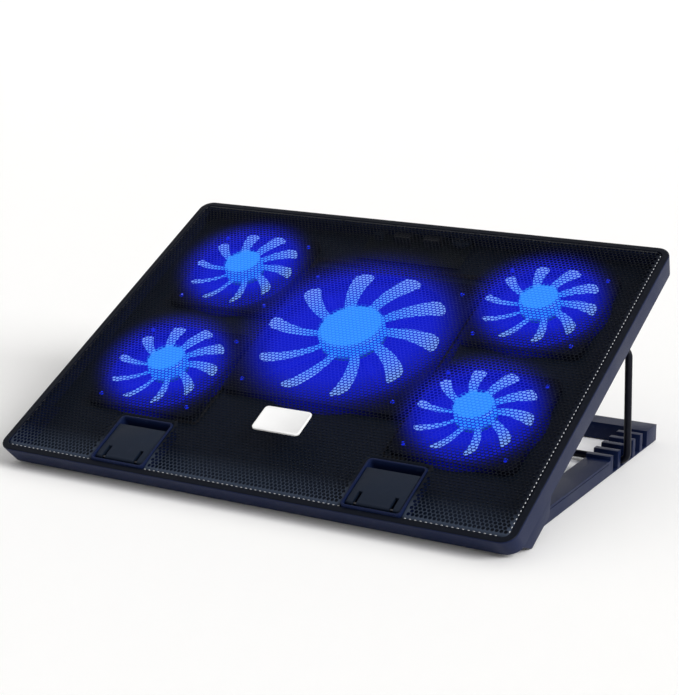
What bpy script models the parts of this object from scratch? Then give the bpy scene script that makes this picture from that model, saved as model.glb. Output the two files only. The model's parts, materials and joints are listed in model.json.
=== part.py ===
"""Laptop cooling pad: perforated top over five slim fans, flip-up stops, notched base and wire prop.

Pad pieces are drawn in the pad's own frame: x from the centre line, y back from the front rim,
z up from the rim's top face. Base pieces are drawn in the stand's frame: y back from the point
above the front rim, z up from the ground. Empties place both frames in the world.
"""
import math

import bmesh
import bpy
from mathutils import Vector

# Driving dimensions, metres and degrees
PAD_WIDTH = 0.380
PAD_DEPTH = 0.290
PAD_TILT = 26.2
CASING_HEIGHT = 0.0160
CORNER_RADIUS = 0.010
WALL = 0.002
RIM_WIDTH = 0.005
RIM_EDGE = 0.0008
LEDGE_WIDTH = 0.0085
LEDGE_DROP = 0.0022
LEDGE_THICKNESS = 0.0016
FRONT_UNDERCUT = 0.0055
SIDE_DRAFT = 0.001
BOTTOM_THICKNESS = 0.002
GAP = 0.0003

MESH_CROWN = 0.001
MESH_THICKNESS = 0.0009
MESH_EDGE_ROLL = 0.003
MESH_FRONT_SLOPE = 0.018

SMALL_TIP_RADIUS = 0.0405
BIG_TIP_RADIUS = 0.066
TIP_CLEARANCE = 0.0015
FAN_WALL = 0.002
SMALL_FAN_X = 0.118
FRONT_FAN_Y = 0.110
REAR_FAN_Y = 0.2225
BIG_FAN_Y = 0.168
FAN_TOP = -0.0006
FAN_HEIGHT = 0.0129
FRAME_HEIGHT = 0.0045
FRAME_CORNER = 0.006
STRUT_WIDTH = 0.0044
SMALL_HUB_RADIUS = 0.014
BIG_HUB_RADIUS = 0.0235
HUB_WALL = 0.0012
BLADE_COUNT = 10
BLADE_THICKNESS = 0.0012
BLADE_SWEEP = 14.0
BLADE_PHASE = 0.35
BLADE_ROOT_SHARE = 0.080
BLADE_TIP_SHARE = 0.225
BLADE_TRAIL_DROP = 0.0072
BLADE_LEAD_DROP = 0.0042
SHAFT_RADIUS = 0.0015
STATOR_HEIGHT = 0.005
MOTOR_PLATE = 0.0014

STOP_X = 0.094
STOP_WIDTH = 0.0375
STOP_LENGTH = 0.0300
STOP_THICKNESS = 0.0026
STOP_AXIS_Y = 0.0105
STOP_AXIS_DROP = 0.0012
STOP_BARREL_RADIUS = 0.0018
STOP_PIN_RADIUS = 0.0008
STOP_SLOT_WIDTH = 0.0016
STOP_SLOT_LENGTH = 0.0070
STOP_SLOT_INSET = 0.0060
STOP_SLOT_START = 0.0032
STOP_FACE_DROP = 0.0002
FINGER_GAP = 0.0062
WELL_FLOOR_DROP = 0.0080
WELL_WALL = 0.0016
WELL_RIM_RISE = 0.0006
WELL_FRONT_GAP = 0.0024

LABEL_WIDTH = 0.0355
LABEL_DEPTH = 0.0225
LABEL_THICKNESS = 0.0012
LABEL_Y = 0.0665
LABEL_CORNER = 0.003

HINGE_Y = 0.0320
HINGE_DROP = 0.0215
HINGE_HEIGHT = 0.0090
HINGE_PIN_RADIUS = 0.0022
EAR_INNER_INSET = 0.0098
EAR_OUTER_INSET = 0.0015
EAR_DEPTH = 0.0272
EAR_TOE_Y = 0.0238
EAR_HEEL_Y = 0.0520
EAR_HEEL_SLOPE = 0.0080

ARM_OUTER_INSET = 0.0105
ARM_WIDTH = 0.0175
ARM_TOP = 0.0110
BASE_BOTTOM = 0.0008
BASE_REAR = 0.2730
REAR_BAR_DEPTH = 0.0160
REAR_BAR_TOP = 0.0125
KNUCKLE_RADIUS = 0.0050
SHOULDER_LENGTH = 0.0200
RIB_COUNT = 5
RIB_PITCH = 0.0140
RIB_THICKNESS = 0.0050
FIRST_RIB_Y = 0.1860
RIB_TOP = 0.0135
SLOT_FLOOR = 0.0016
NOTCH_IN_USE = 2
FOOT_LENGTH = 0.0160
FOOT_WIDTH = 0.0100
FRONT_FOOT_Y = 0.0620

WIRE_RADIUS = 0.0025
BAIL_GAP = 0.0006
BAIL_PIVOT_Y = 0.2120
BAIL_PIVOT_DROP = 0.0257
BAIL_PIN_REACH = 0.0290
BAIL_TOP_BEND = 0.0065
BAIL_FOOT_BEND = 0.0060
SOCKET_WIDTH = 0.0090
SOCKET_FRONT = 0.0062
SOCKET_REAR = 0.0050
SOCKET_LIP = 0.0014

PORT_SPACING = 0.0240
PORT_WIDTH = 0.0132
PORT_HEIGHT = 0.0066
PORT_LENGTH = 0.0140
PORT_SHELL = 0.0005
PORT_MID_SHARE = 0.45
BOARD_WIDTH = 0.0820
BOARD_DEPTH = 0.0300
BOARD_THICKNESS = 0.0010
BOARD_CLEARANCE = 0.0016
DIAL_X = 0.0330
DIAL_RADIUS = 0.0080
DIAL_THICKNESS = 0.0030
DIAL_PROUD = 0.0015
DIAL_TEETH = 24
DIAL_TOOTH_DEPTH = 0.0004
DIAL_BORE_RADIUS = 0.0018
BUTTON_X = -0.0330
BUTTON_WIDTH = 0.0070
BUTTON_HEIGHT = 0.0042
BUTTON_LENGTH = 0.0060
BUTTON_PROUD = 0.0012

SCREW_HEAD_RADIUS = 0.0024
SCREW_HEAD_HEIGHT = 0.0010
LEAD_RADIUS = 0.0008
LEAD_GAP = 0.0005
LEAD_TUCK = 0.0030
LEAD_CROSSING = 0.0040
LEAD_EXIT_X = 0.0300
VENT_SLOT_WIDTH = 0.0030

# Sizes that follow from them
TILT = math.radians(PAD_TILT)
FAN_BOTTOM = FAN_TOP - FAN_HEIGHT
BOTTOM_TOP_Z = BOTTOM_THICKNESS - CASING_HEIGHT
MESH_BOTTOM = MESH_CROWN - MESH_THICKNESS
STOP_AXIS_Z = -STOP_AXIS_DROP
WELL_FRONT = STOP_AXIS_Y - STOP_BARREL_RADIUS - WELL_FRONT_GAP
WELL_REAR = STOP_AXIS_Y + STOP_LENGTH + FINGER_GAP
WELL_HALF = STOP_WIDTH / 2 + GAP * 2
WELL_TOP = MESH_CROWN + WELL_RIM_RISE
EAR_FRONT_Y = FRONT_UNDERCUT + WALL + 0.0060
EAR_REAR_Y = EAR_HEEL_Y + EAR_HEEL_SLOPE
EAR_INNER_X = PAD_WIDTH / 2 - EAR_INNER_INSET
EAR_OUTER_X = PAD_WIDTH / 2 - EAR_OUTER_INSET
ARM_OUTER_X = PAD_WIDTH / 2 - ARM_OUTER_INSET
ARM_INNER_X = ARM_OUTER_X - ARM_WIDTH
BAIL_PIN_END_X = ARM_OUTER_X - BAIL_PIN_REACH
PORT_MID_Z = -CASING_HEIGHT * PORT_MID_SHARE
BAIL_LEG_X = ARM_OUTER_X + BAIL_GAP + WIRE_RADIUS
BAIL_FOOT_Z = SLOT_FLOOR + GAP + WIRE_RADIUS
BAIL_FOOT_Y = FIRST_RIB_Y + RIB_PITCH * (NOTCH_IN_USE - 0.5)


def tilted(y, z):
    """A point of the pad's frame, turned by the tilt, without the pad's own offset."""
    across = y * math.cos(TILT) - z * math.sin(TILT)
    up = y * math.sin(TILT) + z * math.cos(TILT)
    return Vector((0.0, across, up))


HINGE_POINT = Vector((0.0, tilted(HINGE_Y, -HINGE_DROP).y, HINGE_HEIGHT))
PAD_ORIGIN = HINGE_POINT - tilted(HINGE_Y, -HINGE_DROP)
FRONT_MOST_Y = tilted(FRONT_UNDERCUT * RIM_EDGE / CASING_HEIGHT, -RIM_EDGE).y
BAIL_TOP = PAD_ORIGIN + tilted(BAIL_PIVOT_Y, -BAIL_PIVOT_DROP)
BAIL_FOOT = Vector((0.0, BAIL_FOOT_Y, BAIL_FOOT_Z))


# Scene and materials

def clear_scene():
    for item in list(bpy.data.objects):
        bpy.data.objects.remove(item, do_unlink=True)


def make_material(name, colour, roughness, metallic=0.0, glow=0.0):
    material = bpy.data.materials.new(name)
    material.use_nodes = True
    shader = material.node_tree.nodes["Principled BSDF"]
    shader.inputs["Base Color"].default_value = (*colour, 1.0)
    shader.inputs["Roughness"].default_value = roughness
    shader.inputs["Metallic"].default_value = metallic
    shader.inputs["Emission Color"].default_value = (*colour, 1.0)
    shader.inputs["Emission Strength"].default_value = glow
    material.diffuse_color = (*colour, 1.0)
    return material


def make_materials():
    return {
        "navy": make_material("navy_plastic", (0.030, 0.048, 0.110), 0.42),
        "dark": make_material("dark_plastic", (0.014, 0.020, 0.036), 0.50),
        "mesh": make_material("black_steel", (0.008, 0.010, 0.016), 0.38, 0.6),
        "blade": make_material("lit_blade", (0.070, 0.270, 1.000), 0.35, 0.0, 1.5),
        "fan": make_material("fan_plastic", (0.010, 0.012, 0.020), 0.55),
        "copper": make_material("motor_winding", (0.420, 0.170, 0.070), 0.45, 0.8),
        "steel": make_material("bright_steel", (0.550, 0.560, 0.580), 0.30, 1.0),
        "wire": make_material("black_wire", (0.012, 0.015, 0.028), 0.35, 0.3),
        "rubber": make_material("foot_rubber", (0.012, 0.012, 0.013), 0.85),
        "label": make_material("blank_plate", (0.850, 0.850, 0.880), 0.30),
        "board": make_material("circuit_board", (0.008, 0.012, 0.014), 0.50),
        "lead": make_material("lead_jacket", (0.020, 0.020, 0.022), 0.60),
    }


# Mesh helpers

def new_object(name, vertices, faces, material, smooth=False):
    mesh = bpy.data.meshes.new(name)
    mesh.from_pydata([tuple(v) for v in vertices], [], faces)
    work = bmesh.new()
    work.from_mesh(mesh)
    bmesh.ops.recalc_face_normals(work, faces=work.faces)
    work.to_mesh(mesh)
    work.free()
    item = bpy.data.objects.new(name, mesh)
    bpy.context.scene.collection.objects.link(item)
    if material:
        mesh.materials.append(material)
    if smooth:
        mesh.shade_smooth()
        mesh.set_sharp_from_angle(angle=math.radians(35))
    return item


def bridge(first, second, count):
    """Quads between two closed loops of vertex numbers that start at first and second."""
    return [(first + i, first + (i + 1) % count, second + (i + 1) % count, second + i)
            for i in range(count)]


def stack_loops(name, loops, material, ring=False, smooth=False):
    """A solid skinned over loops of equal length: capped at both ends, or closed into a ring."""
    count = len(loops[0])
    vertices = [v for loop in loops for v in loop]
    faces = []
    for i in range(len(loops) - 1):
        faces += bridge(i * count, (i + 1) * count, count)
    if ring:
        faces += bridge((len(loops) - 1) * count, 0, count)
    else:
        faces.append(tuple(range(count)))
        faces.append(tuple(range((len(loops) - 1) * count, len(loops) * count)))
    return new_object(name, vertices, faces, material, smooth)


def extrude_x(name, outline, low, high, material, smooth=False):
    """A (y, z) outline carried along x from low to high."""
    loops = [[(x, y, z) for y, z in outline] for x in (low, high)]
    return stack_loops(name, loops, material, smooth=smooth)


def extrude_z(name, outline, low, high, material, smooth=False):
    loops = [[(x, y, z) for x, y in outline] for z in (low, high)]
    return stack_loops(name, loops, material, smooth=smooth)


def box(name, low, high, material=None):
    outline = [(low[0], low[1]), (high[0], low[1]), (high[0], high[1]), (low[0], high[1])]
    return extrude_z(name, outline, low[2], high[2], material)


def arc(centre, radius, start, end, steps):
    """Points on a circle from start to end, in degrees."""
    angles = [math.radians(start + (end - start) * i / steps) for i in range(steps + 1)]
    return [(centre[0] + radius * math.cos(a), centre[1] + radius * math.sin(a)) for a in angles]


def circle(centre, radius, sides):
    return arc(centre, radius, 0.0, 360.0 - 360.0 / sides, sides - 1)


def rounded_rect(x_low, x_high, y_low, y_high, radius, steps=6):
    corners = [((x_high - radius, y_low + radius), -90), ((x_high - radius, y_high - radius), 0),
               ((x_low + radius, y_high - radius), 90), ((x_low + radius, y_low + radius), 180)]
    return [p for centre, start in corners for p in arc(centre, radius, start, start + 90, steps)]


def turned(name, profile, sides, material, smooth=True):
    """A closed (radius, z) profile turned about z; points on the axis close it."""
    vertices = []
    rings = []
    for radius, z in profile:
        rings.append((len(vertices), radius > 0.0))
        points = circle((0.0, 0.0), radius, sides) if radius > 0.0 else [(0.0, 0.0)]
        vertices += [(x, y, z) for x, y in points]
    faces = []
    for i, (first, wide) in enumerate(rings):
        second, next_wide = rings[(i + 1) % len(rings)]
        if wide and next_wide:
            faces += bridge(first, second, sides)
        elif wide:
            faces += [(first + k, first + (k + 1) % sides, second) for k in range(sides)]
        elif next_wide:
            faces += [(first, second + (k + 1) % sides, second + k) for k in range(sides)]
    return new_object(name, vertices, faces, material, smooth)


def combine(target, tool, operation):
    """Applies a Boolean with tool, then removes tool."""
    tool.hide_render = True
    tool.display_type = "WIRE"
    step = target.modifiers.new(operation.title(), "BOOLEAN")
    step.operation = operation
    step.solver = "EXACT"
    step.object = tool
    bpy.context.view_layer.update()
    graph = bpy.context.evaluated_depsgraph_get()
    result = bpy.data.meshes.new_from_object(target.evaluated_get(graph))
    target.modifiers.clear()
    target.data = result
    bpy.data.objects.remove(tool, do_unlink=True)
    return target


def cut(target, tool):
    return combine(target, tool, "DIFFERENCE")


def join(target, tool):
    return combine(target, tool, "UNION")


def merge_tools(name, tools):
    """Joins separate cutters that don't meet into one object."""
    vertices = []
    faces = []
    for tool in tools:
        first = len(vertices)
        vertices += [v.co.copy() for v in tool.data.vertices]
        faces += [tuple(first + k for k in face.vertices) for face in tool.data.polygons]
        bpy.data.objects.remove(tool, do_unlink=True)
    return new_object(name, vertices, faces, None)


def finish_edges(item, angle=35.0):
    item.data.shade_smooth()
    item.data.set_sharp_from_angle(angle=math.radians(angle))
    return item


# Casing

def casing_loop(inset, z, drafted=True, steps=6):
    """The casing's outline at height z, moved in by inset; draft and front undercut grow downwards."""
    down = -z / CASING_HEIGHT if drafted else 0.0
    side = inset + SIDE_DRAFT * down
    front = inset + FRONT_UNDERCUT * down
    half = PAD_WIDTH / 2 - side
    radius = max(CORNER_RADIUS - inset, 0.002)
    outline = rounded_rect(-half, half, front, PAD_DEPTH - side, radius, steps)
    return [(x, y, z) for x, y in outline]


def make_casing_ring(material):
    """Wall, flat rim and the ledge that carries the perforated sheet, as one closed ring."""
    ledge_low = -LEDGE_DROP - LEDGE_THICKNESS
    walls = [(RIM_EDGE, 0.0), (0.0, -RIM_EDGE), (0.0, -CASING_HEIGHT),
             (WALL, -CASING_HEIGHT), (WALL, ledge_low)]
    shelf = [(LEDGE_WIDTH, ledge_low), (LEDGE_WIDTH, -LEDGE_DROP),
             (RIM_WIDTH, -LEDGE_DROP), (RIM_WIDTH, 0.0)]
    loops = [casing_loop(inset, z) for inset, z in walls]
    loops += [casing_loop(inset, z, drafted=False) for inset, z in shelf]
    return stack_loops("top_cover", loops, material, ring=True)


def well_box(name, side, grow, low, high, front=WELL_FRONT, rear=WELL_REAR):
    centre = side * STOP_X
    half = WELL_HALF + grow
    return box(name, (centre - half, front - grow, low), (centre + half, rear + grow, high))


def make_ear(side):
    """The hinge ear below a front corner, which is also the front foot of the casing."""
    top = BOTTOM_TOP_Z
    outline = [(EAR_FRONT_Y, top), (EAR_FRONT_Y, -CASING_HEIGHT), (EAR_TOE_Y, -EAR_DEPTH),
               (EAR_HEEL_Y, -EAR_DEPTH), (EAR_REAR_Y, -CASING_HEIGHT), (EAR_REAR_Y, top)]
    ends = sorted((side * EAR_INNER_X, side * EAR_OUTER_X))
    return extrude_x("ear", outline, ends[0], ends[1], None)


def ear_pin_hole(side):
    ends = sorted((side * (EAR_INNER_X - 0.0010), side * (EAR_OUTER_X - WALL)))
    outline = circle((HINGE_Y, -HINGE_DROP), HINGE_PIN_RADIUS + GAP, 20)
    return extrude_x("pin_hole", outline, ends[0], ends[1], None)


def rear_openings():
    """Cutters through the rear wall for the sockets, the dial and the button."""
    front = PAD_DEPTH - WALL - SIDE_DRAFT - 0.0010
    rear = PAD_DEPTH + 0.0010
    tools = []
    for side in (-1, 1):
        x = side * PORT_SPACING / 2
        half = PORT_WIDTH / 2 + GAP
        tall = PORT_HEIGHT / 2 + GAP
        tools.append(box("port", (x - half, front, PORT_MID_Z - tall),
                         (x + half, rear, PORT_MID_Z + tall)))
    dial_half = math.sqrt(DIAL_RADIUS ** 2 - (DIAL_RADIUS - DIAL_PROUD - WALL - SIDE_DRAFT) ** 2) + GAP * 3
    dial_tall = DIAL_THICKNESS / 2 + GAP * 1.5
    tools.append(box("dial", (DIAL_X - dial_half, front, PORT_MID_Z - dial_tall),
                     (DIAL_X + dial_half, rear, PORT_MID_Z + dial_tall)))
    half = BUTTON_WIDTH / 2 + GAP
    tall = BUTTON_HEIGHT / 2 + GAP
    tools.append(box("button", (BUTTON_X - half, front, PORT_MID_Z - tall),
                     (BUTTON_X + half, rear, PORT_MID_Z + tall)))
    return merge_tools("rear_openings", tools)


def stop_pin_hole(side):
    reach = WELL_HALF + WELL_WALL * 0.75
    centre = side * STOP_X
    outline = circle((STOP_AXIS_Y, STOP_AXIS_Z), STOP_PIN_RADIUS + GAP, 12)
    return extrude_x("stop_pin_hole", outline, centre - reach, centre + reach, None)


def make_top_cover(material):
    cover = make_casing_ring(material)
    floor = -WELL_FLOOR_DROP - WELL_WALL
    for side in (-1, 1):
        join(cover, well_box("well", side, WELL_WALL, floor, WELL_TOP))
        cut(cover, well_box("well_space", side, 0.0, -WELL_FLOOR_DROP, WELL_TOP + 0.0010))
        cut(cover, stop_pin_hole(side))
        join(cover, make_ear(side))
        cut(cover, ear_pin_hole(side))
    cut(cover, rear_openings())
    cover.data.materials.clear()
    cover.data.materials.append(material)
    return finish_edges(cover)


def vent_row(centre, radius, pitch):
    """Parallel slots whose ends follow a circle under one fan."""
    tools = []
    count = int(radius / pitch)
    for i in range(-count, count + 1):
        y = i * pitch
        reach = math.sqrt(max(radius ** 2 - y ** 2, 0.0))
        if reach < 0.012:
            continue
        for side in (-1, 1):
            inner = side * 0.002
            ends = sorted((centre[0] + inner, centre[0] + side * reach))
            front = centre[1] + y - VENT_SLOT_WIDTH / 2
            tools.append(box("vent", (ends[0], front, -CASING_HEIGHT - 0.0010),
                             (ends[1], front + VENT_SLOT_WIDTH, BOTTOM_TOP_Z + 0.0010)))
    return tools


def cover_screw_points():
    """The screws that hold the two covers together, in the bottom cover's margin."""
    x_out = PAD_WIDTH / 2 - 0.0240
    y_front = FRONT_UNDERCUT + 0.0100
    y_rear = PAD_DEPTH - 0.0120
    return [(side * x_out, y) for side in (-1, 1) for y in (y_front, PAD_DEPTH * 0.56, y_rear)]


def make_bottom_cover(material):
    inset = WALL + GAP
    loops = [casing_loop(inset, -CASING_HEIGHT), casing_loop(inset, BOTTOM_TOP_Z)]
    cover = stack_loops("bottom_cover", loops, material)
    tools = []
    for centre, tip, _hub, _name in fan_places():
        tools += vent_row(centre, tip * 0.86, 0.0085 if tip < BIG_TIP_RADIUS else 0.0105)
    for x, y in cover_screw_points():
        tools.append(extrude_z("hole", circle((x, y), SCREW_HEAD_RADIUS + GAP, 12),
                               -CASING_HEIGHT - 0.0010, -CASING_HEIGHT + SCREW_HEAD_HEIGHT + GAP, None))
    for side in (-1, 1):
        ends = sorted((side * (EAR_INNER_X - GAP), side * PAD_WIDTH / 2))
        tools.append(box("ear_notch", (ends[0], EAR_FRONT_Y - GAP, -CASING_HEIGHT - 0.0010),
                         (ends[1], EAR_REAR_Y + GAP, BOTTOM_TOP_Z + 0.0010)))
    cut(cover, merge_tools("openings", tools))
    cover.data.materials.clear()
    cover.data.materials.append(material)
    return cover


def make_cover_screw(name, centre, material):
    """Pan head in the bottom cover's counterbore."""
    return extrude_z(name, circle(centre, SCREW_HEAD_RADIUS, 16), -CASING_HEIGHT,
                     -CASING_HEIGHT + SCREW_HEAD_HEIGHT, material, smooth=True)


# Perforated sheet and label

def mesh_profile():
    """Section of the sheet from front to back: sloped front band, flat field, rolled rear edge."""
    front = RIM_WIDTH + GAP
    rear = PAD_DEPTH - RIM_WIDTH - GAP
    low = -LEDGE_DROP + GAP
    top = [(front, low + MESH_THICKNESS), (front + MESH_FRONT_SLOPE * 0.5, low + MESH_THICKNESS + 0.0014),
           (front + MESH_FRONT_SLOPE, MESH_CROWN), (rear - MESH_EDGE_ROLL, MESH_CROWN),
           (rear, low + MESH_THICKNESS)]
    bottom = [(y, z - MESH_THICKNESS) for y, z in reversed(top)]
    return top + bottom


def make_mesh_panel(material):
    half = PAD_WIDTH / 2 - RIM_WIDTH - GAP
    panel = extrude_x("mesh_panel", mesh_profile(), -half, half, material)
    corner = rounded_rect(-half, half, RIM_WIDTH + GAP, PAD_DEPTH - RIM_WIDTH - GAP,
                          CORNER_RADIUS - RIM_WIDTH - GAP)
    combine(panel, extrude_z("corner_trim", corner, -0.01, 0.01, None), "INTERSECT")
    for side in (-1, 1):
        cut(panel, well_box("well_window", side, WELL_WALL + GAP, -0.01, 0.01, front=WELL_FRONT - 0.02))
    panel.data.materials.clear()
    panel.data.materials.append(material)
    return panel


def make_label_plate(material):
    half = LABEL_WIDTH / 2
    front = LABEL_Y - LABEL_DEPTH / 2
    outline = rounded_rect(-half, half, front, front + LABEL_DEPTH, LABEL_CORNER, 4)
    low = MESH_CROWN + GAP
    return extrude_z("label_plate", outline, low, low + LABEL_THICKNESS, material)


# Fans

def fan_places():
    """Centre, tip radius, hub radius and name of each fan."""
    places = [((0.0, BIG_FAN_Y), BIG_TIP_RADIUS, BIG_HUB_RADIUS, "centre")]
    for side, label in ((-1, "left"), (1, "right")):
        for y, row in ((FRONT_FAN_Y, "front_"), (REAR_FAN_Y, "rear_")):
            places.append(((side * SMALL_FAN_X, y), SMALL_TIP_RADIUS, SMALL_HUB_RADIUS, row + label))
    return places


def make_fan_housing(name, centre, tip, hub, material):
    """Low square frame with a round throat, four struts and the motor plate at the bottom."""
    bore = tip + TIP_CLEARANCE
    half = bore + FAN_WALL
    top = FAN_BOTTOM + FRAME_HEIGHT
    cx, cy = centre
    outline = rounded_rect(cx - half, cx + half, cy - half, cy + half, FRAME_CORNER, 3)
    frame = extrude_z(name, outline, FAN_BOTTOM, top, material)
    cut(frame, extrude_z("throat", circle(centre, bore, 32), FAN_BOTTOM - 0.001, top + 0.001, None))
    plate = extrude_z("plate", circle(centre, hub, 24), FAN_BOTTOM, FAN_BOTTOM + MOTOR_PLATE, None)
    for turn in (45, 135, 225, 315):
        direction = Vector((math.cos(math.radians(turn)), math.sin(math.radians(turn))))
        across = Vector((-direction.y, direction.x)) * STRUT_WIDTH / 2
        start = Vector(centre) + direction * (hub * 0.6)
        end = Vector(centre) + direction * (bore + FAN_WALL * 0.5)
        corners = [tuple(p) for p in (start - across, end - across, end + across, start + across)]
        join(plate, extrude_z("strut", corners, FAN_BOTTOM, FAN_BOTTOM + MOTOR_PLATE, None))
    join(frame, plate)
    frame.data.materials.clear()
    frame.data.materials.append(material)
    return finish_edges(frame)


def make_stator(name, centre, hub, material):
    """Wound motor core on the plate, with the bearing bore up its middle."""
    low = FAN_BOTTOM + MOTOR_PLATE + GAP
    outer = hub - HUB_WALL - 0.0012
    inner = SHAFT_RADIUS + GAP
    profile = [(inner, low), (outer, low), (outer, low + STATOR_HEIGHT), (inner, low + STATOR_HEIGHT)]
    core = turned(name, profile, 24, material)
    core.location = (centre[0], centre[1], 0.0)
    return core


def blade_section(radius, root, tip):
    """Angles of the paddle-shaped blade's two edges at one radius; the last tenth is rounded."""
    along = (radius - root) / (tip - root)
    width = tip * (BLADE_ROOT_SHARE + (BLADE_TIP_SHARE - BLADE_ROOT_SHARE) * along)
    past = max(along - 0.9, 0.0) * 10
    width *= math.sqrt(1.0 - 0.75 * past ** 2)
    middle = -math.radians(BLADE_SWEEP) * along ** 1.3
    half = width / (2 * radius)
    return middle - half, middle + half


def make_blade(turn, root, tip, low, high):
    loops = []
    for along in (0.0, 0.25, 0.5, 0.75, 0.9, 1.0):
        radius = root + (tip - root) * along
        trail, lead = blade_section(radius, root, tip)
        sides = [(trail + turn, low), (lead + turn, high)]
        ends = [(radius * math.cos(a), radius * math.sin(a), z) for a, z in sides]
        loops.append(ends + [(x, y, z + BLADE_THICKNESS) for x, y, z in reversed(ends)])
    return stack_loops("blade", loops, None)


def make_rotor(name, centre, tip, hub, material):
    """Cup-shaped hub over the motor with its shaft, and ten swept blades around it."""
    top = FAN_TOP
    skirt = FAN_BOTTOM + MOTOR_PLATE + GAP * 2
    roof = FAN_BOTTOM + MOTOR_PLATE + GAP + STATOR_HEIGHT + 0.0008
    profile = [(0.0, top), (hub - 0.001, top), (hub, top - 0.001), (hub, skirt), (hub - HUB_WALL, skirt),
               (hub - HUB_WALL, roof), (SHAFT_RADIUS, roof), (SHAFT_RADIUS, skirt), (0.0, skirt)]
    rotor = turned(name, profile, 28, material)
    for i in range(BLADE_COUNT):
        turn = 2 * math.pi * (i + BLADE_PHASE) / BLADE_COUNT
        root = hub - HUB_WALL * 0.5
        join(rotor, make_blade(turn, root, tip, top - BLADE_TRAIL_DROP, top - BLADE_LEAD_DROP))
    rotor.data.materials.clear()
    rotor.data.materials.append(material)
    rotor.location = (centre[0], centre[1], 0.0)
    return finish_edges(rotor)


def board_front_y():
    return PAD_DEPTH - WALL - SIDE_DRAFT - BOARD_CLEARANCE - BOARD_DEPTH


def smooth_route(corners, turn_radius):
    """Straight runs between corners, with each corner rounded by a quadratic bend."""
    route = [Vector(corners[0])]
    for before, corner, after in zip(corners, corners[1:], corners[2:]):
        corner = Vector(corner)
        enter = corner + (Vector(before) - corner).normalized() * turn_radius
        leave = corner + (Vector(after) - corner).normalized() * turn_radius
        for t in (0.0, 0.25, 0.5, 0.75, 1.0):
            route.append(enter * (1 - t) ** 2 + corner * 2 * t * (1 - t) + leave * t ** 2)
    route.append(Vector(corners[-1]))
    return route


def lead_corners(label, centre, tip):
    """A fan lead's way over the bottom cover: from its housing, along the channel, under the board."""
    side = 1 if "right" in label else -1
    edge = SMALL_TIP_RADIUS + TIP_CLEARANCE + FAN_WALL
    big_edge = BIG_TIP_RADIUS + TIP_CLEARANCE + FAN_WALL
    end_y = board_front_y() + LEAD_TUCK
    pitch = LEAD_RADIUS * 2 + LEAD_GAP
    if label == "centre":
        start_y = centre[1] + big_edge + GAP
        return [(0.0, start_y), (0.0, (start_y + end_y) / 2), (0.0, end_y)]
    channel = (SMALL_FAN_X - edge + big_edge) / 2
    cross_y = board_front_y() - LEAD_CROSSING
    if "rear" in label:
        lane = side * (channel + pitch / 2)
        exit_x = side * LEAD_EXIT_X
        return [(lane, centre[1] + tip * 0.45), (lane, cross_y), (exit_x, cross_y), (exit_x, end_y)]
    lane = side * (channel - pitch / 2)
    exit_x = side * (LEAD_EXIT_X - pitch * 3)
    below = centre[1] - edge - GAP - LEAD_RADIUS
    cross_y -= pitch
    return [(side * (SMALL_FAN_X - edge * 0.7), below), (lane, below), (lane, cross_y),
            (exit_x, cross_y), (exit_x, end_y)]


def make_fan_lead(name, label, centre, tip, material):
    """A fan's lead: a thin tube that lies on the bottom cover."""
    z = BOTTOM_TOP_Z + GAP + LEAD_RADIUS
    corners = [Vector((x, y, z)) for x, y in lead_corners(label, centre, tip)]
    points = smooth_route(corners, 0.0022)
    curve = bpy.data.curves.new(name, "CURVE")
    curve.dimensions = "3D"
    curve.bevel_depth = LEAD_RADIUS
    curve.bevel_resolution = 2
    curve.use_fill_caps = True
    spline = curve.splines.new("POLY")
    spline.points.add(len(points) - 1)
    for spot, place in zip(spline.points, points):
        spot.co = (*place, 1.0)
    item = bpy.data.objects.new(name, curve)
    bpy.context.scene.collection.objects.link(item)
    curve.materials.append(material)
    return item


# Stops

def make_stop(name, side, material):
    """Flap with a hinge barrel at its front edge; drawn about its own hinge axis."""
    top = MESH_CROWN - STOP_FACE_DROP - STOP_AXIS_Z
    barrel = arc((0.0, 0.0), STOP_BARREL_RADIUS, 90, 270, 10)
    outline = barrel + [(0.002, top - STOP_THICKNESS), (STOP_LENGTH, top - STOP_THICKNESS),
                        (STOP_LENGTH, top - 0.0006), (STOP_LENGTH - 0.0006, top), (0.002, top)]
    half = STOP_WIDTH / 2
    flap = extrude_x(name, outline, -half, half, material)
    bore = circle((0.0, 0.0), STOP_PIN_RADIUS + GAP, 12)
    cut(flap, extrude_x("bore", bore, -half - 0.001, half + 0.001, None))
    for edge in (-1, 1):
        x = edge * (half - STOP_SLOT_INSET)
        cut(flap, box("slot", (x - STOP_SLOT_WIDTH / 2, STOP_SLOT_START, -0.01),
                      (x + STOP_SLOT_WIDTH / 2, STOP_SLOT_START + STOP_SLOT_LENGTH, 0.01)))
    flap.data.materials.clear()
    flap.data.materials.append(material)
    flap.location = (side * STOP_X, STOP_AXIS_Y, STOP_AXIS_Z)
    return finish_edges(flap)


def make_stop_pin(name, side, material):
    half = WELL_HALF + WELL_WALL * 0.75 - GAP
    centre = side * STOP_X
    outline = circle((STOP_AXIS_Y, STOP_AXIS_Z), STOP_PIN_RADIUS, 12)
    return extrude_x(name, outline, centre - half, centre + half, material, smooth=True)


# Controls on the rear edge

def make_board(material):
    front = board_front_y()
    low = PORT_MID_Z - PORT_HEIGHT / 2 - GAP - BOARD_THICKNESS
    return box("control_board", (-BOARD_WIDTH / 2, front, low),
               (BOARD_WIDTH / 2, front + BOARD_DEPTH, low + BOARD_THICKNESS), material)


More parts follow.
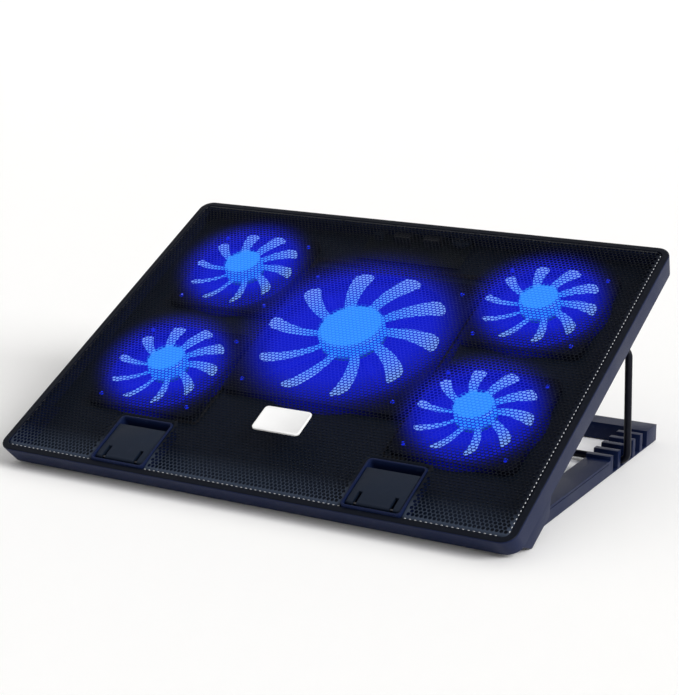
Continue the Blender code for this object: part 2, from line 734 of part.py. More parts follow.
def make_port(name, side, material):
    """Metal shell of a socket, open to the rear."""
    rear = PAD_DEPTH - SIDE_DRAFT - 0.0004
    x = side * PORT_SPACING / 2
    half = PORT_WIDTH / 2
    tall = PORT_HEIGHT / 2
    front = rear - PORT_LENGTH
    shell = box(name, (x - half, front, PORT_MID_Z - tall), (x + half, rear, PORT_MID_Z + tall), material)
    half -= PORT_SHELL
    tall -= PORT_SHELL
    cut(shell, box("mouth", (x - half, front + 0.0010, PORT_MID_Z - tall),
                   (x + half, rear + 0.001, PORT_MID_Z + tall)))
    shell.data.materials.clear()
    shell.data.materials.append(material)
    return shell


def dial_centre():
    return (DIAL_X, PAD_DEPTH + DIAL_PROUD - DIAL_RADIUS)


def make_dial(material):
    """Thumbwheel with a grooved edge and a bore for its shaft, drawn about its own axis."""
    half = DIAL_THICKNESS / 2
    outline = []
    for i in range(DIAL_TEETH * 2):
        radius = DIAL_RADIUS - DIAL_TOOTH_DEPTH * (i % 2)
        angle = math.pi * i / DIAL_TEETH
        outline.append((radius * math.cos(angle), radius * math.sin(angle)))
    dial = extrude_z("speed_dial", outline, -half, half, material)
    cut(dial, extrude_z("bore", circle((0.0, 0.0), DIAL_BORE_RADIUS, 16), -0.01, 0.01, None))
    dial.data.materials.clear()
    dial.data.materials.append(material)
    dial.location = (*dial_centre(), PORT_MID_Z)
    return dial


def make_dial_post(material):
    low = PORT_MID_Z - PORT_HEIGHT / 2
    high = PORT_MID_Z + DIAL_THICKNESS / 2 + 0.0013
    outline = circle(dial_centre(), DIAL_BORE_RADIUS - GAP, 16)
    return extrude_z("dial_post", outline, low, high, material, smooth=True)


def make_button(material):
    """Push button with a flange that keeps it inside the wall; drawn from its travel's start."""
    half = BUTTON_WIDTH / 2
    tall = BUTTON_HEIGHT / 2
    wall_face = -SIDE_DRAFT - WALL
    button = box("power_button", (-half, wall_face - BUTTON_LENGTH + 0.002, -tall),
                 (half, BUTTON_PROUD - SIDE_DRAFT * 0.5, tall), material)
    flange = box("flange", (-half - 0.001, wall_face - GAP - 0.0012, -tall - 0.0008),
                 (half + 0.001, wall_face - GAP, tall + 0.0008))
    join(button, flange)
    button.data.materials.clear()
    button.data.materials.append(material)
    button.location = (BUTTON_X, PAD_DEPTH, PORT_MID_Z)
    return button


def make_switch(material):
    """The switch body on the board that the button presses."""
    rear = PAD_DEPTH - SIDE_DRAFT - WALL - BUTTON_LENGTH + 0.002 - 0.0018
    return box("button_switch", (BUTTON_X - 0.003, rear - 0.004, PORT_MID_Z - PORT_HEIGHT / 2),
               (BUTTON_X + 0.003, rear, PORT_MID_Z + 0.002), material)


# Prop wire and its sockets

def bail_path():
    """Half of the wire's route in its own plane: x outwards, z up from the foot bar's axis."""
    height = (BAIL_TOP - BAIL_FOOT).length
    foot = arc((BAIL_LEG_X - BAIL_FOOT_BEND, BAIL_FOOT_BEND), BAIL_FOOT_BEND, -90, 0, 5)
    top = arc((BAIL_LEG_X - BAIL_TOP_BEND, height - BAIL_TOP_BEND), BAIL_TOP_BEND, 0, 90, 7)
    return foot + top + [(BAIL_PIN_END_X, height)]


def make_bail(material):
    half = bail_path()
    route = [(-x, z) for x, z in reversed(half)] + half
    curve = bpy.data.curves.new("bail", "CURVE")
    curve.dimensions = "3D"
    curve.bevel_depth = WIRE_RADIUS
    curve.bevel_resolution = 4
    curve.use_fill_caps = True
    spline = curve.splines.new("POLY")
    spline.points.add(len(route) - 1)
    for spot, (x, z) in zip(spline.points, route):
        spot.co = (x, 0.0, z, 1.0)
    bail = bpy.data.objects.new("bail", curve)
    bpy.context.scene.collection.objects.link(bail)
    curve.materials.append(material)
    lean = BAIL_TOP - BAIL_FOOT
    bail.rotation_euler = (math.atan2(-lean.y, lean.z), 0.0, 0.0)
    bail.location = BAIL_FOOT
    return bail


def make_bail_socket(name, side, material):
    """Clip under the casing that caps the wire's end and opens to the rear for folding."""
    top = -CASING_HEIGHT - GAP
    hole = WIRE_RADIUS + GAP
    y, z = BAIL_PIVOT_Y, -BAIL_PIVOT_DROP
    low = z - hole - SOCKET_LIP
    outline = [(y - SOCKET_FRONT, top), (y - SOCKET_FRONT, z - hole), (y - SOCKET_FRONT + SOCKET_LIP, low),
               (y + SOCKET_LIP, low), (y + SOCKET_LIP, z - hole - 0.0002)]
    outline += [(p, q) for p, q in reversed(arc((y, z), hole, 120, 270, 10))]
    outline += [(y + SOCKET_REAR, z + hole + 0.0026), (y + SOCKET_REAR, top)]
    low_x = BAIL_PIN_END_X - 0.0006
    ends = sorted((side * low_x, side * (low_x + SOCKET_WIDTH)))
    return extrude_x(name, outline, ends[0], ends[1], material)


# Base

def arm_outline():
    """Side view of an arm: round knuckle, sloping front, flat top, then the notch ribs."""
    hy, hz = HINGE_POINT.y, HINGE_POINT.z
    rear_wall = FIRST_RIB_Y + RIB_PITCH * RIB_COUNT - RIB_THICKNESS / 2
    points = [(BASE_REAR, BASE_BOTTOM), (BASE_REAR, REAR_BAR_TOP - 0.002), (BASE_REAR - 0.002, REAR_BAR_TOP)]
    points += [(rear_wall + 0.001, REAR_BAR_TOP), (rear_wall, REAR_BAR_TOP - 0.001)]
    points.append((rear_wall, SLOT_FLOOR))
    for i in reversed(range(RIB_COUNT)):
        rear = FIRST_RIB_Y + RIB_PITCH * i + RIB_THICKNESS / 2
        front = rear - RIB_THICKNESS
        points += [(rear, SLOT_FLOOR), (rear, RIB_TOP - 0.001), (rear - 0.001, RIB_TOP)]
        points += [(front + 0.001, RIB_TOP), (front, RIB_TOP - 0.001)]
        if i:
            points.append((front, SLOT_FLOOR))
    points.append((FIRST_RIB_Y - RIB_THICKNESS / 2, ARM_TOP))
    points.append((hy + SHOULDER_LENGTH, ARM_TOP))
    points += arc((hy, hz), KNUCKLE_RADIUS, 70, 208, 9)
    points.append((hy + 0.002, BASE_BOTTOM))
    return points


def make_base_frame(material):
    frame = None
    for side in (-1, 1):
        ends = sorted((side * ARM_INNER_X, side * ARM_OUTER_X))
        arm = extrude_x("base_frame", arm_outline(), ends[0], ends[1], material)
        hole = circle((HINGE_POINT.y, HINGE_POINT.z), HINGE_PIN_RADIUS + GAP, 20)
        cut(arm, extrude_x("hole", hole, ends[0] - 0.001, ends[1] + 0.001, None))
        if frame:
            join(frame, arm)
        else:
            frame = arm
    front = BASE_REAR - REAR_BAR_DEPTH
    bar = [(front, BASE_BOTTOM), (BASE_REAR, BASE_BOTTOM), (BASE_REAR, REAR_BAR_TOP - 0.002),
           (BASE_REAR - 0.002, REAR_BAR_TOP), (front + 0.001, REAR_BAR_TOP), (front, REAR_BAR_TOP - 0.001)]
    join(frame, extrude_x("rear_bar", bar, -ARM_INNER_X - 0.002, ARM_INNER_X + 0.002, None))
    frame.data.materials.clear()
    frame.data.materials.append(material)
    return finish_edges(frame)


def make_foot(name, side, y, material):
    x = side * (ARM_INNER_X + ARM_WIDTH / 2)
    half = FOOT_WIDTH / 2
    outline = rounded_rect(x - half, x + half, y - FOOT_LENGTH / 2, y + FOOT_LENGTH / 2, 0.003, 3)
    return extrude_z(name, outline, 0.0, BASE_BOTTOM, material)


def make_hinge_pin(name, side, material):
    ends = sorted((side * (ARM_INNER_X + 0.001), side * (EAR_OUTER_X - WALL - GAP)))
    outline = circle((HINGE_POINT.y, HINGE_POINT.z), HINGE_PIN_RADIUS, 20)
    return extrude_x(name, outline, ends[0], ends[1], material, smooth=True)


# Assembly

def build_pad(materials):
    pieces = [make_top_cover(materials["navy"]), make_bottom_cover(materials["dark"]),
              make_mesh_panel(materials["mesh"]), make_label_plate(materials["label"])]
    for centre, tip, hub, label in fan_places():
        pieces.append(make_fan_housing("fan_housing_" + label, centre, tip, hub, materials["fan"]))
        pieces.append(make_stator("fan_stator_" + label, centre, hub, materials["copper"]))
        pieces.append(make_rotor("fan_rotor_" + label, centre, tip, hub, materials["blade"]))
        pieces.append(make_fan_lead("fan_lead_" + label, label, centre, tip, materials["lead"]))
    for i, spot in enumerate(cover_screw_points()):
        pieces.append(make_cover_screw("cover_screw_%d" % (i + 1), spot, materials["steel"]))
    for side, label in ((-1, "left"), (1, "right")):
        pieces.append(make_stop("stop_" + label, side, materials["dark"]))
        pieces.append(make_stop_pin("stop_pin_" + label, side, materials["steel"]))
        pieces.append(make_bail_socket("bail_socket_" + label, side, materials["dark"]))
        pieces.append(make_port("usb_socket_" + label, side, materials["steel"]))
    pieces += [make_board(materials["board"]), make_dial(materials["dark"])]
    pieces += [make_dial_post(materials["steel"]), make_button(materials["dark"])]
    return pieces + [make_switch(materials["dark"])]


def build_base(materials):
    pieces = [make_base_frame(materials["navy"]), make_bail(materials["wire"])]
    rear_foot_y = BASE_REAR - REAR_BAR_DEPTH / 2 - 0.001
    for side, label in ((-1, "left"), (1, "right")):
        pieces.append(make_hinge_pin("hinge_pin_" + label, side, materials["steel"]))
        pieces.append(make_foot("foot_front_" + label, side, FRONT_FOOT_Y, materials["rubber"]))
        pieces.append(make_foot("foot_rear_" + label, side, rear_foot_y, materials["rubber"]))
    return pieces


def make_empty(name, location, parent=None, turn=0.0):
    item = bpy.data.objects.new(name, None)
    bpy.context.scene.collection.objects.link(item)
    item.location = location
    item.rotation_euler = (turn, 0.0, 0.0)
    item.parent = parent
    return item


def main():
    clear_scene()
    materials = make_materials()
    stand = make_empty("stand_frame", (0.0, -(BASE_REAR + FRONT_MOST_Y) / 2, 0.0))
    hinge = make_empty("tilt_hinge_axis", HINGE_POINT, stand, TILT)
    pad = make_empty("pad_frame", (0.0, -HINGE_Y, HINGE_DROP), hinge)
    for piece in build_pad(materials):
        piece.parent = pad
    for piece in build_base(materials):
        piece.parent = stand
    bpy.context.view_layer.update()


main()
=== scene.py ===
import json
import math

import bmesh
import bpy
import numpy as np
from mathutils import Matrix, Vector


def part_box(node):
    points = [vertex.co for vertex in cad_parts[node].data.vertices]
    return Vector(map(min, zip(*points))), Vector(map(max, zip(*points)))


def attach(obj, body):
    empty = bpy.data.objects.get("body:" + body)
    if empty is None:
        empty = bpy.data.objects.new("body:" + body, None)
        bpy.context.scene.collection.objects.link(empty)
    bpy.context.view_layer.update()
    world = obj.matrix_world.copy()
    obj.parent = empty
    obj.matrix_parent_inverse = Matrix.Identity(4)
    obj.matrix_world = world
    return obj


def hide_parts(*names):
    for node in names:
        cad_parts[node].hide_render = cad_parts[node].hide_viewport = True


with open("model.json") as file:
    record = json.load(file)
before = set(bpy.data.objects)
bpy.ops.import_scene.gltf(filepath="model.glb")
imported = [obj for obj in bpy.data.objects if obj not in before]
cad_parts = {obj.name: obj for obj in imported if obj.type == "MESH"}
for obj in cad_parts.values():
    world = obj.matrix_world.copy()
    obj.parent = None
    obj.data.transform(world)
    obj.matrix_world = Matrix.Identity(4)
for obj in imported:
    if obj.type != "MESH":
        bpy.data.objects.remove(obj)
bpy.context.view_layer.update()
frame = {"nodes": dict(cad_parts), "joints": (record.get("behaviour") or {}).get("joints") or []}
joints = {j["name"]: j for j in frame["joints"]}
print("frame loaded,", len(frame["nodes"]), "nodes")

# The deck's own frame: x from the middle, y back from the front rim, z up from the rim's top face.
deck = {"width": 0.380, "depth": 0.290, "height": 0.016, "corner": 0.010, "rim": 0.005, "ledge": 0.0085,
        "ledgeDrop": 0.0022, "ledgeThick": 0.0016, "wall": 0.002, "undercut": 0.0055, "draft": 0.001,
        "hingeY": 0.032, "hingeDrop": 0.0215, "crown": 0.001, "edgeRound": 0.0013}
deckNormal = np.array(joints["fan_centre_spin"]["axis"])
deckTilt = math.atan2(-deckNormal[1], deckNormal[2])
deckHinge = np.array(joints["tilt_hinge"]["pos_m"])
sinTilt, cosTilt = math.sin(deckTilt), math.cos(deckTilt)
fanNames = ("centre", "front_left", "front_right", "rear_left", "rear_right")


def deckToWorld(points):
    # Turns deck points about x by the tilt and sets them on the hinge.
    p = np.asarray(points, float) - (0.0, deck["hingeY"], -deck["hingeDrop"])
    y = p[..., 1] * cosTilt - p[..., 2] * sinTilt
    z = p[..., 1] * sinTilt + p[..., 2] * cosTilt
    return np.stack([p[..., 0], y, z], -1) + deckHinge


def worldToDeck(point):
    # The inverse turn.
    p = np.asarray(point, float) - deckHinge
    y = p[..., 1] * cosTilt + p[..., 2] * sinTilt
    z = -p[..., 1] * sinTilt + p[..., 2] * cosTilt
    return np.stack([p[..., 0], y, z], -1) + (0.0, deck["hingeY"], -deck["hingeDrop"])


def deckAxis(joint):
    # A joint's place in the deck's own frame.
    return worldToDeck(joints[joint]["pos_m"])


# Mesh tools

def gridFaces(rows, cols, wrapRows=False, wrapCols=False):
    # Quads between neighbouring points of a rows by cols grid, closed round where asked.
    i = np.arange(rows if wrapRows else rows - 1)[:, None]
    j = np.arange(cols if wrapCols else cols - 1)[None, :]
    nextI, nextJ = (i + 1) % rows, (j + 1) % cols
    corners = [i * cols + j, i * cols + nextJ, nextI * cols + nextJ, nextI * cols + j]
    return np.stack(np.broadcast_arrays(*corners), -1).reshape(-1, 4)


def fillMesh(name, points, faceSets):
    # A new object from points and sets of equal-sided faces.
    mesh = bpy.data.meshes.new(name)
    flat = np.ascontiguousarray(points, np.float32).reshape(-1, 3)
    corners = np.concatenate([f.ravel() for f in faceSets]).astype(np.int32)
    sizes = np.concatenate([np.full(len(f), f.shape[1]) for f in faceSets])
    starts = np.concatenate([[0], np.cumsum(sizes)[:-1]]).astype(np.int32)
    mesh.vertices.add(len(flat))
    mesh.vertices.foreach_set("co", flat.ravel())
    mesh.loops.add(len(corners))
    mesh.loops.foreach_set("vertex_index", corners)
    mesh.polygons.add(len(sizes))
    mesh.polygons.foreach_set("loop_start", starts)
    mesh.update(calc_edges=True)
    mesh.validate()
    piece = bpy.data.objects.new(name, mesh)
    bpy.context.scene.collection.objects.link(piece)
    return piece


def faceOutward(mesh):
    # Welds doubled points and turns every normal out.
    work = bmesh.new()
    work.from_mesh(mesh)
    bmesh.ops.remove_doubles(work, verts=work.verts, dist=1e-6)
    bmesh.ops.recalc_face_normals(work, faces=work.faces)
    work.to_mesh(mesh)
    work.free()


def finishPiece(piece, material, body, stands=(), sharp=32.0):
    piece.data.materials.clear()
    piece.data.materials.append(material)
    piece.data.shade_smooth()
    piece.data.set_sharp_from_angle(angle=math.radians(sharp))
    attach(piece, body)
    if stands:
        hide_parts(*stands)
    return piece


def joinShells(name, shells):
    # One piece from several closed shells given as (points, faceSets).
    points, faceSets, first = [], [], 0
    for shellPoints, shellFaces in shells:
        flat = np.asarray(shellPoints, float).reshape(-1, 3)
        points.append(flat)
        faceSets += [f + first for f in shellFaces]
        first += len(flat)
    piece = fillMesh(name, np.concatenate(points), faceSets)
    faceOutward(piece.data)
    return piece


def shellOf(loops, ring=False):
    # Points and faces of a stack of equal loops, closed into a ring or capped at both ends.
    loops = np.asarray(loops, float)
    rows, cols = loops.shape[:2]
    ends = np.arange(cols)[None, :]
    caps = [] if ring else [ends[:, ::-1], ends + (rows - 1) * cols]
    return loops, [gridFaces(rows, cols, ring, True)] + caps


def skinLoops(name, loops, ring=False):
    return joinShells(name, [shellOf(loops, ring)])


def roundedLoop(xLow, xHigh, yLow, yHigh, radius, steps=10):
    # Rounded rectangle: a quarter circle about each of four corner centres.
    turn = np.linspace(0.0, math.pi / 2, steps + 1)
    starts = np.array([-1, 0, 1, 2])[:, None] * math.pi / 2
    centreX = np.array([xHigh, xHigh, xLow, xLow])[:, None] + np.array([-1, -1, 1, 1])[:, None] * radius
    centreY = np.array([yLow, yHigh, yHigh, yLow])[:, None] + np.array([1, -1, -1, 1])[:, None] * radius
    x = centreX + radius * np.cos(starts + turn)
    y = centreY + radius * np.sin(starts + turn)
    return np.stack([x.ravel(), y.ravel()], -1)


def lift(loop, z):
    return np.concatenate([loop, np.full((len(loop), 1), z)], -1)


def turnedLoops(profile, sides, centre=(0.0, 0.0)):
    # A (radius, z) profile turned about z: x and y are radius times cosine and sine.
    profile = np.asarray(profile, float)
    turn = np.linspace(0, 2 * math.pi, sides, endpoint=False)
    x = profile[:, :1] * np.cos(turn) + centre[0]
    y = profile[:, :1] * np.sin(turn) + centre[1]
    return np.stack([x, y, np.broadcast_to(profile[:, 1:], x.shape)], -1)


def arcPoints(centre, radius, start, end, steps):
    turn = np.radians(np.linspace(start, end, steps + 1))
    return np.stack([centre[0] + radius * np.cos(turn), centre[1] + radius * np.sin(turn)], -1)


def carryAlongX(outline, places):
    # A (y, z) outline repeated at each x.
    outline = np.asarray(outline, float)
    return np.stack([np.concatenate([np.full((len(outline), 1), x), outline], -1) for x in places])


def applyModifiers(piece):
    graph = bpy.context.evaluated_depsgraph_get()
    mesh = bpy.data.meshes.new_from_object(piece.evaluated_get(graph))
    piece.modifiers.clear()
    piece.data = mesh
    return piece


def softenEdges(piece, width, segments=3, angle=40.0):
    bevel = piece.modifiers.new("soft_edges", "BEVEL")
    bevel.width = width
    bevel.segments = segments
    bevel.limit_method = "ANGLE"
    bevel.angle_limit = math.radians(angle)
    return applyModifiers(piece)


def carve(piece, cutter, operation="DIFFERENCE"):
    step = piece.modifiers.new("carve", "BOOLEAN")
    step.operation = operation
    step.object = cutter
    applyModifiers(piece)
    bpy.data.objects.remove(cutter, do_unlink=True)
    return piece


def placeOnDeck(piece):
    # Moves a piece drawn in the deck's frame into the world.
    count = len(piece.data.vertices)
    flat = np.empty(count * 3)
    piece.data.vertices.foreach_get("co", flat)
    piece.data.vertices.foreach_set("co", deckToWorld(flat.reshape(-1, 3)).ravel())
    piece.data.update()
    return piece


# Materials

def addNode(material, kind, **settings):
    node = material.node_tree.nodes.new(kind)
    for name, value in settings.items():
        setattr(node, name, value)
    return node


def startMaterial(name, finish):
    material = bpy.data.materials.new(name)
    material.use_nodes = True
    shader = material.node_tree.nodes["Principled BSDF"]
    shader.inputs["Base Color"].default_value = (*finish["colour"], 1.0)
    shader.inputs["Roughness"].default_value = finish["rough"]
    shader.inputs["Metallic"].default_value = finish.get("metal", 0.0)
    shader.inputs["Specular IOR Level"].default_value = finish.get("specular", 0.5)
    return material, shader


def feed(material, socket, value):
    # Links a socket to another one, or sets it to a colour or a number.
    if isinstance(value, bpy.types.NodeSocket):
        material.node_tree.links.new(value, socket)
    else:
        socket.default_value = (*value, 1.0) if isinstance(value, tuple) else value


def objectPlace(material):
    return addNode(material, "ShaderNodeTexCoord").outputs["Object"]


def noiseOf(material, place, scale, detail=2.0):
    noise = addNode(material, "ShaderNodeTexNoise")
    noise.inputs["Scale"].default_value = scale
    noise.inputs["Detail"].default_value = detail
    feed(material, noise.inputs["Vector"], place)
    return noise.outputs["Fac"]


def rescale(material, value, fromLow, fromHigh, toLow, toHigh, smooth=False):
    node = addNode(material, "ShaderNodeMapRange")
    node.interpolation_type = "SMOOTHSTEP" if smooth else "LINEAR"
    limits = {"From Min": fromLow, "From Max": fromHigh, "To Min": toLow, "To Max": toHigh}
    for name, number in limits.items():
        node.inputs[name].default_value = number
    feed(material, node.inputs["Value"], value)
    return node.outputs["Result"]


def mixColours(material, factor, first, second):
    node = addNode(material, "ShaderNodeMix", data_type="RGBA")
    for index, value in ((0, factor), (6, first), (7, second)):
        feed(material, node.inputs[index], value)
    return node.outputs[2]


def mathOf(material, operation, first, second):
    node = addNode(material, "ShaderNodeMath", operation=operation)
    feed(material, node.inputs[0], first)
    feed(material, node.inputs[1], second)
    return node.outputs[0]


def addBump(material, shader, height, distance=0.00002):
    bump = addNode(material, "ShaderNodeBump")
    bump.inputs["Distance"].default_value = distance
    bump.inputs["Strength"].default_value = 1.0
    feed(material, bump.inputs["Height"], height)
    feed(material, shader.inputs["Normal"], bump.outputs["Normal"])


def varyRoughness(material, shader, finish, noise, less, more):
    # The noise's middle range runs from a glossier value to a duller one.
    value = rescale(material, noise, 0.3, 0.7, finish["rough"] - less, finish["rough"] + more)
    feed(material, shader.inputs["Roughness"], value)


moulding = {"cloud": 28.0, "rub": 260.0, "rubLow": 0.58, "rubHigh": 0.72, "rubShare": 0.35, "darker": 0.86,
            "lighter": 1.14, "brightest": 0.96}


def mouldedPlastic(name, finish):
    # Spark-eroded grain, cloudy gloss and faint rub marks.
    material, shader = startMaterial(name, finish)
    place = objectPlace(material)
    grain = noiseOf(material, place, finish["grain"], 3.0)
    cloud = noiseOf(material, place, moulding["cloud"], 4.0)
    marks = noiseOf(material, place, moulding["rub"], 6.0)
    rub = rescale(material, marks, moulding["rubLow"], moulding["rubHigh"], 0.0, moulding["rubShare"], True)
    darker = tuple(moulding["darker"] * c for c in finish["colour"])
    lighter = tuple(min(moulding["lighter"] * c, moulding["brightest"]) for c in finish["colour"])
    tone = mixColours(material, rub, mixColours(material, cloud, darker, lighter), finish["rub"])
    feed(material, shader.inputs["Base Color"], tone)
    varyRoughness(material, shader, finish, cloud, 0.06, 0.07)
    addBump(material, shader, grain, finish.get("grainDepth", 0.00002))
    return material


def brushedMetal(name, finish):
    # Fine drawn lines along x under a cloudy roughness.
    material, shader = startMaterial(name, finish)
    stretch = addNode(material, "ShaderNodeMapping")
    stretch.inputs["Scale"].default_value = (20.0, 1.0, 1.0)
    feed(material, stretch.inputs["Vector"], objectPlace(material))
    lines = noiseOf(material, stretch.outputs["Vector"], finish.get("grain", 400.0))
    varyRoughness(material, shader, finish, lines, 0.08, 0.1)
    addBump(material, shader, lines, finish.get("grainDepth", 0.00002))
    return material


glow = {"colour": (0.008, 0.018, 1.0), "hubColour": (0.022, 0.225, 0.92), "strength": 0.62,
        "hubStrength": 0.98, "start": 0.80, "end": 1.55, "fall": 3.0, "hubInner": 0.86, "hubOuter": 1.04}


def fanCentres():
    # Centre in the deck's plane and swept radius of each fan, read from its joint and its box.
    found = []
    for label in fanNames:
        low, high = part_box("fan_rotor_" + label)
        spot = deckAxis("fan_" + label + "_spin")
        found.append((label, (float(spot[0]), float(spot[1])), (high.x - low.x) / 2))
    return found


fans = fanCentres()


def deckPlace(material, keepHeight=0.0):
    # Object coordinates turned into the deck's plane, with the height dropped unless it is kept.
    shift = worldToDeck(np.zeros(3))
    turn = addNode(material, "ShaderNodeMapping")
    turn.inputs["Rotation"].default_value = (-deckTilt, 0.0, 0.0)
    turn.inputs["Location"].default_value = tuple(float(v) for v in shift)
    feed(material, turn.inputs["Vector"], objectPlace(material))
    flat = addNode(material, "ShaderNodeVectorMath", operation="MULTIPLY")
    flat.inputs[1].default_value = (1.0, 1.0, keepHeight)
    feed(material, flat.inputs[0], turn.outputs["Vector"])
    return flat.outputs["Vector"]


def partOf(material, place, axis):
    split = addNode(material, "ShaderNodeSeparateXYZ")
    feed(material, split.inputs["Vector"], place)
    return split.outputs[axis]


def fanShare(material, place, centre, radius):
    # Distance from the fan's axis as a share of its swept radius.
    away = addNode(material, "ShaderNodeVectorMath", operation="DISTANCE")
    away.inputs[1].default_value = (*centre, 0.0)
    feed(material, away.inputs[0], place)
    return mathOf(material, "DIVIDE", away.outputs["Value"], radius)


def addHalo(material, shader, share=1.0):
    # Each fan paints blue light, full near its axis, that falls as a power of a smooth fade past its blades.
    place = deckPlace(material)
    total = 0.0
    for _label, centre, radius in fans:
        away = fanShare(material, place, centre, radius)
        fade = rescale(material, away, glow["start"], glow["end"], 1.0, 0.0, True)
        total = mathOf(material, "ADD", total, mathOf(material, "POWER", fade, glow["fall"]))
    shader.inputs["Emission Color"].default_value = (*glow["colour"], 1.0)
    capped = mathOf(material, "MINIMUM", total, 1.0)
    strength = mathOf(material, "MULTIPLY", capped, glow["strength"] * share)
    feed(material, shader.inputs["Emission Strength"], strength)
    return place, strength


def addHubLight(material, shader, place, strength):
    # Over each hub the painted light turns pale and strong inside a soft-edged disc.
    disc = 0.0
    for label, centre, _radius in fans:
        hub = rotor["hubBig"] if label == "centre" else rotor["hubSmall"]
        away = fanShare(material, place, centre, hub)
        spot = rescale(material, away, glow["hubInner"], glow["hubOuter"], 1.0, 0.0, True)
        disc = mathOf(material, "MAXIMUM", disc, spot)
    colour = mixColours(material, disc, glow["colour"], glow["hubColour"])
    feed(material, shader.inputs["Emission Color"], colour)
    extra = mathOf(material, "MULTIPLY", disc, glow["hubStrength"] - glow["strength"])
    feed(material, shader.inputs["Emission Strength"], mathOf(material, "ADD", strength, extra))


def perforatedSteel(name, finish):
    # Powder coat, orange-peel bumps, a painted highlight along the front, painted blue light round the fans.
    material, shader = startMaterial(name, finish)
    peel = noiseOf(material, objectPlace(material), finish["grain"])
    cloud = noiseOf(material, objectPlace(material), 40.0, 3.0)
    varyRoughness(material, shader, finish, cloud, 0.05, 0.08)
    addBump(material, shader, peel, finish["grainDepth"])
    place, strength = addHalo(material, shader)
    addHubLight(material, shader, place, strength)
    # Painted highlight: the strands turn paler towards the front edge, where they catch the light.
    back = partOf(material, place, "Y")
    frontSheen = rescale(material, back, finish["wearStart"], finish["wearEnd"], 1.0, 0.0, True)
    tone = mixColours(material, frontSheen, finish["colour"], finish["worn"])
    feed(material, shader.inputs["Base Color"], tone)
    return material


def litPlastic(name, finish):
    # Black plastic with painted light: blue emission inside and near a fan, where the lamps would light it.
    material, shader = startMaterial(name, finish)
    grain = noiseOf(material, objectPlace(material), finish["grain"])
    addBump(material, shader, grain, finish.get("grainDepth", 0.00002))
    addHalo(material, shader, finish["lit"])
    return material


def litRotor(name, finish):
    # Clear blue plastic, brightest at the hub, paler towards the blade tips and dim low on the skirt.
    material, shader = startMaterial(name, finish)
    place = deckPlace(material)
    nearest = 100.0
    for _label, centre, radius in fans:
        nearest = mathOf(material, "MINIMUM", nearest, fanShare(material, place, centre, radius))
    # Painted light: the rotor's emission stands in for the lamps lighting the clear blades.
    outward = rescale(material, nearest, finish["hubShare"], 1.0, 0.0, 1.0)
    colour = mixColours(material, outward, finish["hubLight"], finish["tipLight"])
    feed(material, shader.inputs["Emission Color"], colour)
    # Painted shade: the emission dims low on the skirt.
    height = partOf(material, deckPlace(material, 1.0), "Z")
    depth = rescale(material, height, finish["skirtDark"], finish["skirtLit"], finish["skirtShare"], 1.0)
    feed(material, shader.inputs["Emission Strength"], depth)
    addBump(material, shader, noiseOf(material, objectPlace(material), 1800.0), 0.00003)
    return material


def clearLamp(name, finish):
    # Clear lens whose light ripples a fifth either way.
    material, shader = startMaterial(name, finish)
    shader.inputs["Emission Color"].default_value = (*finish["light"], 1.0)
    ripple = noiseOf(material, objectPlace(material), 900.0)
    power = rescale(material, ripple, 0.3, 0.7, finish["power"] * 0.8, finish["power"] * 1.2)
    feed(material, shader.inputs["Emission Strength"], power)
    return material


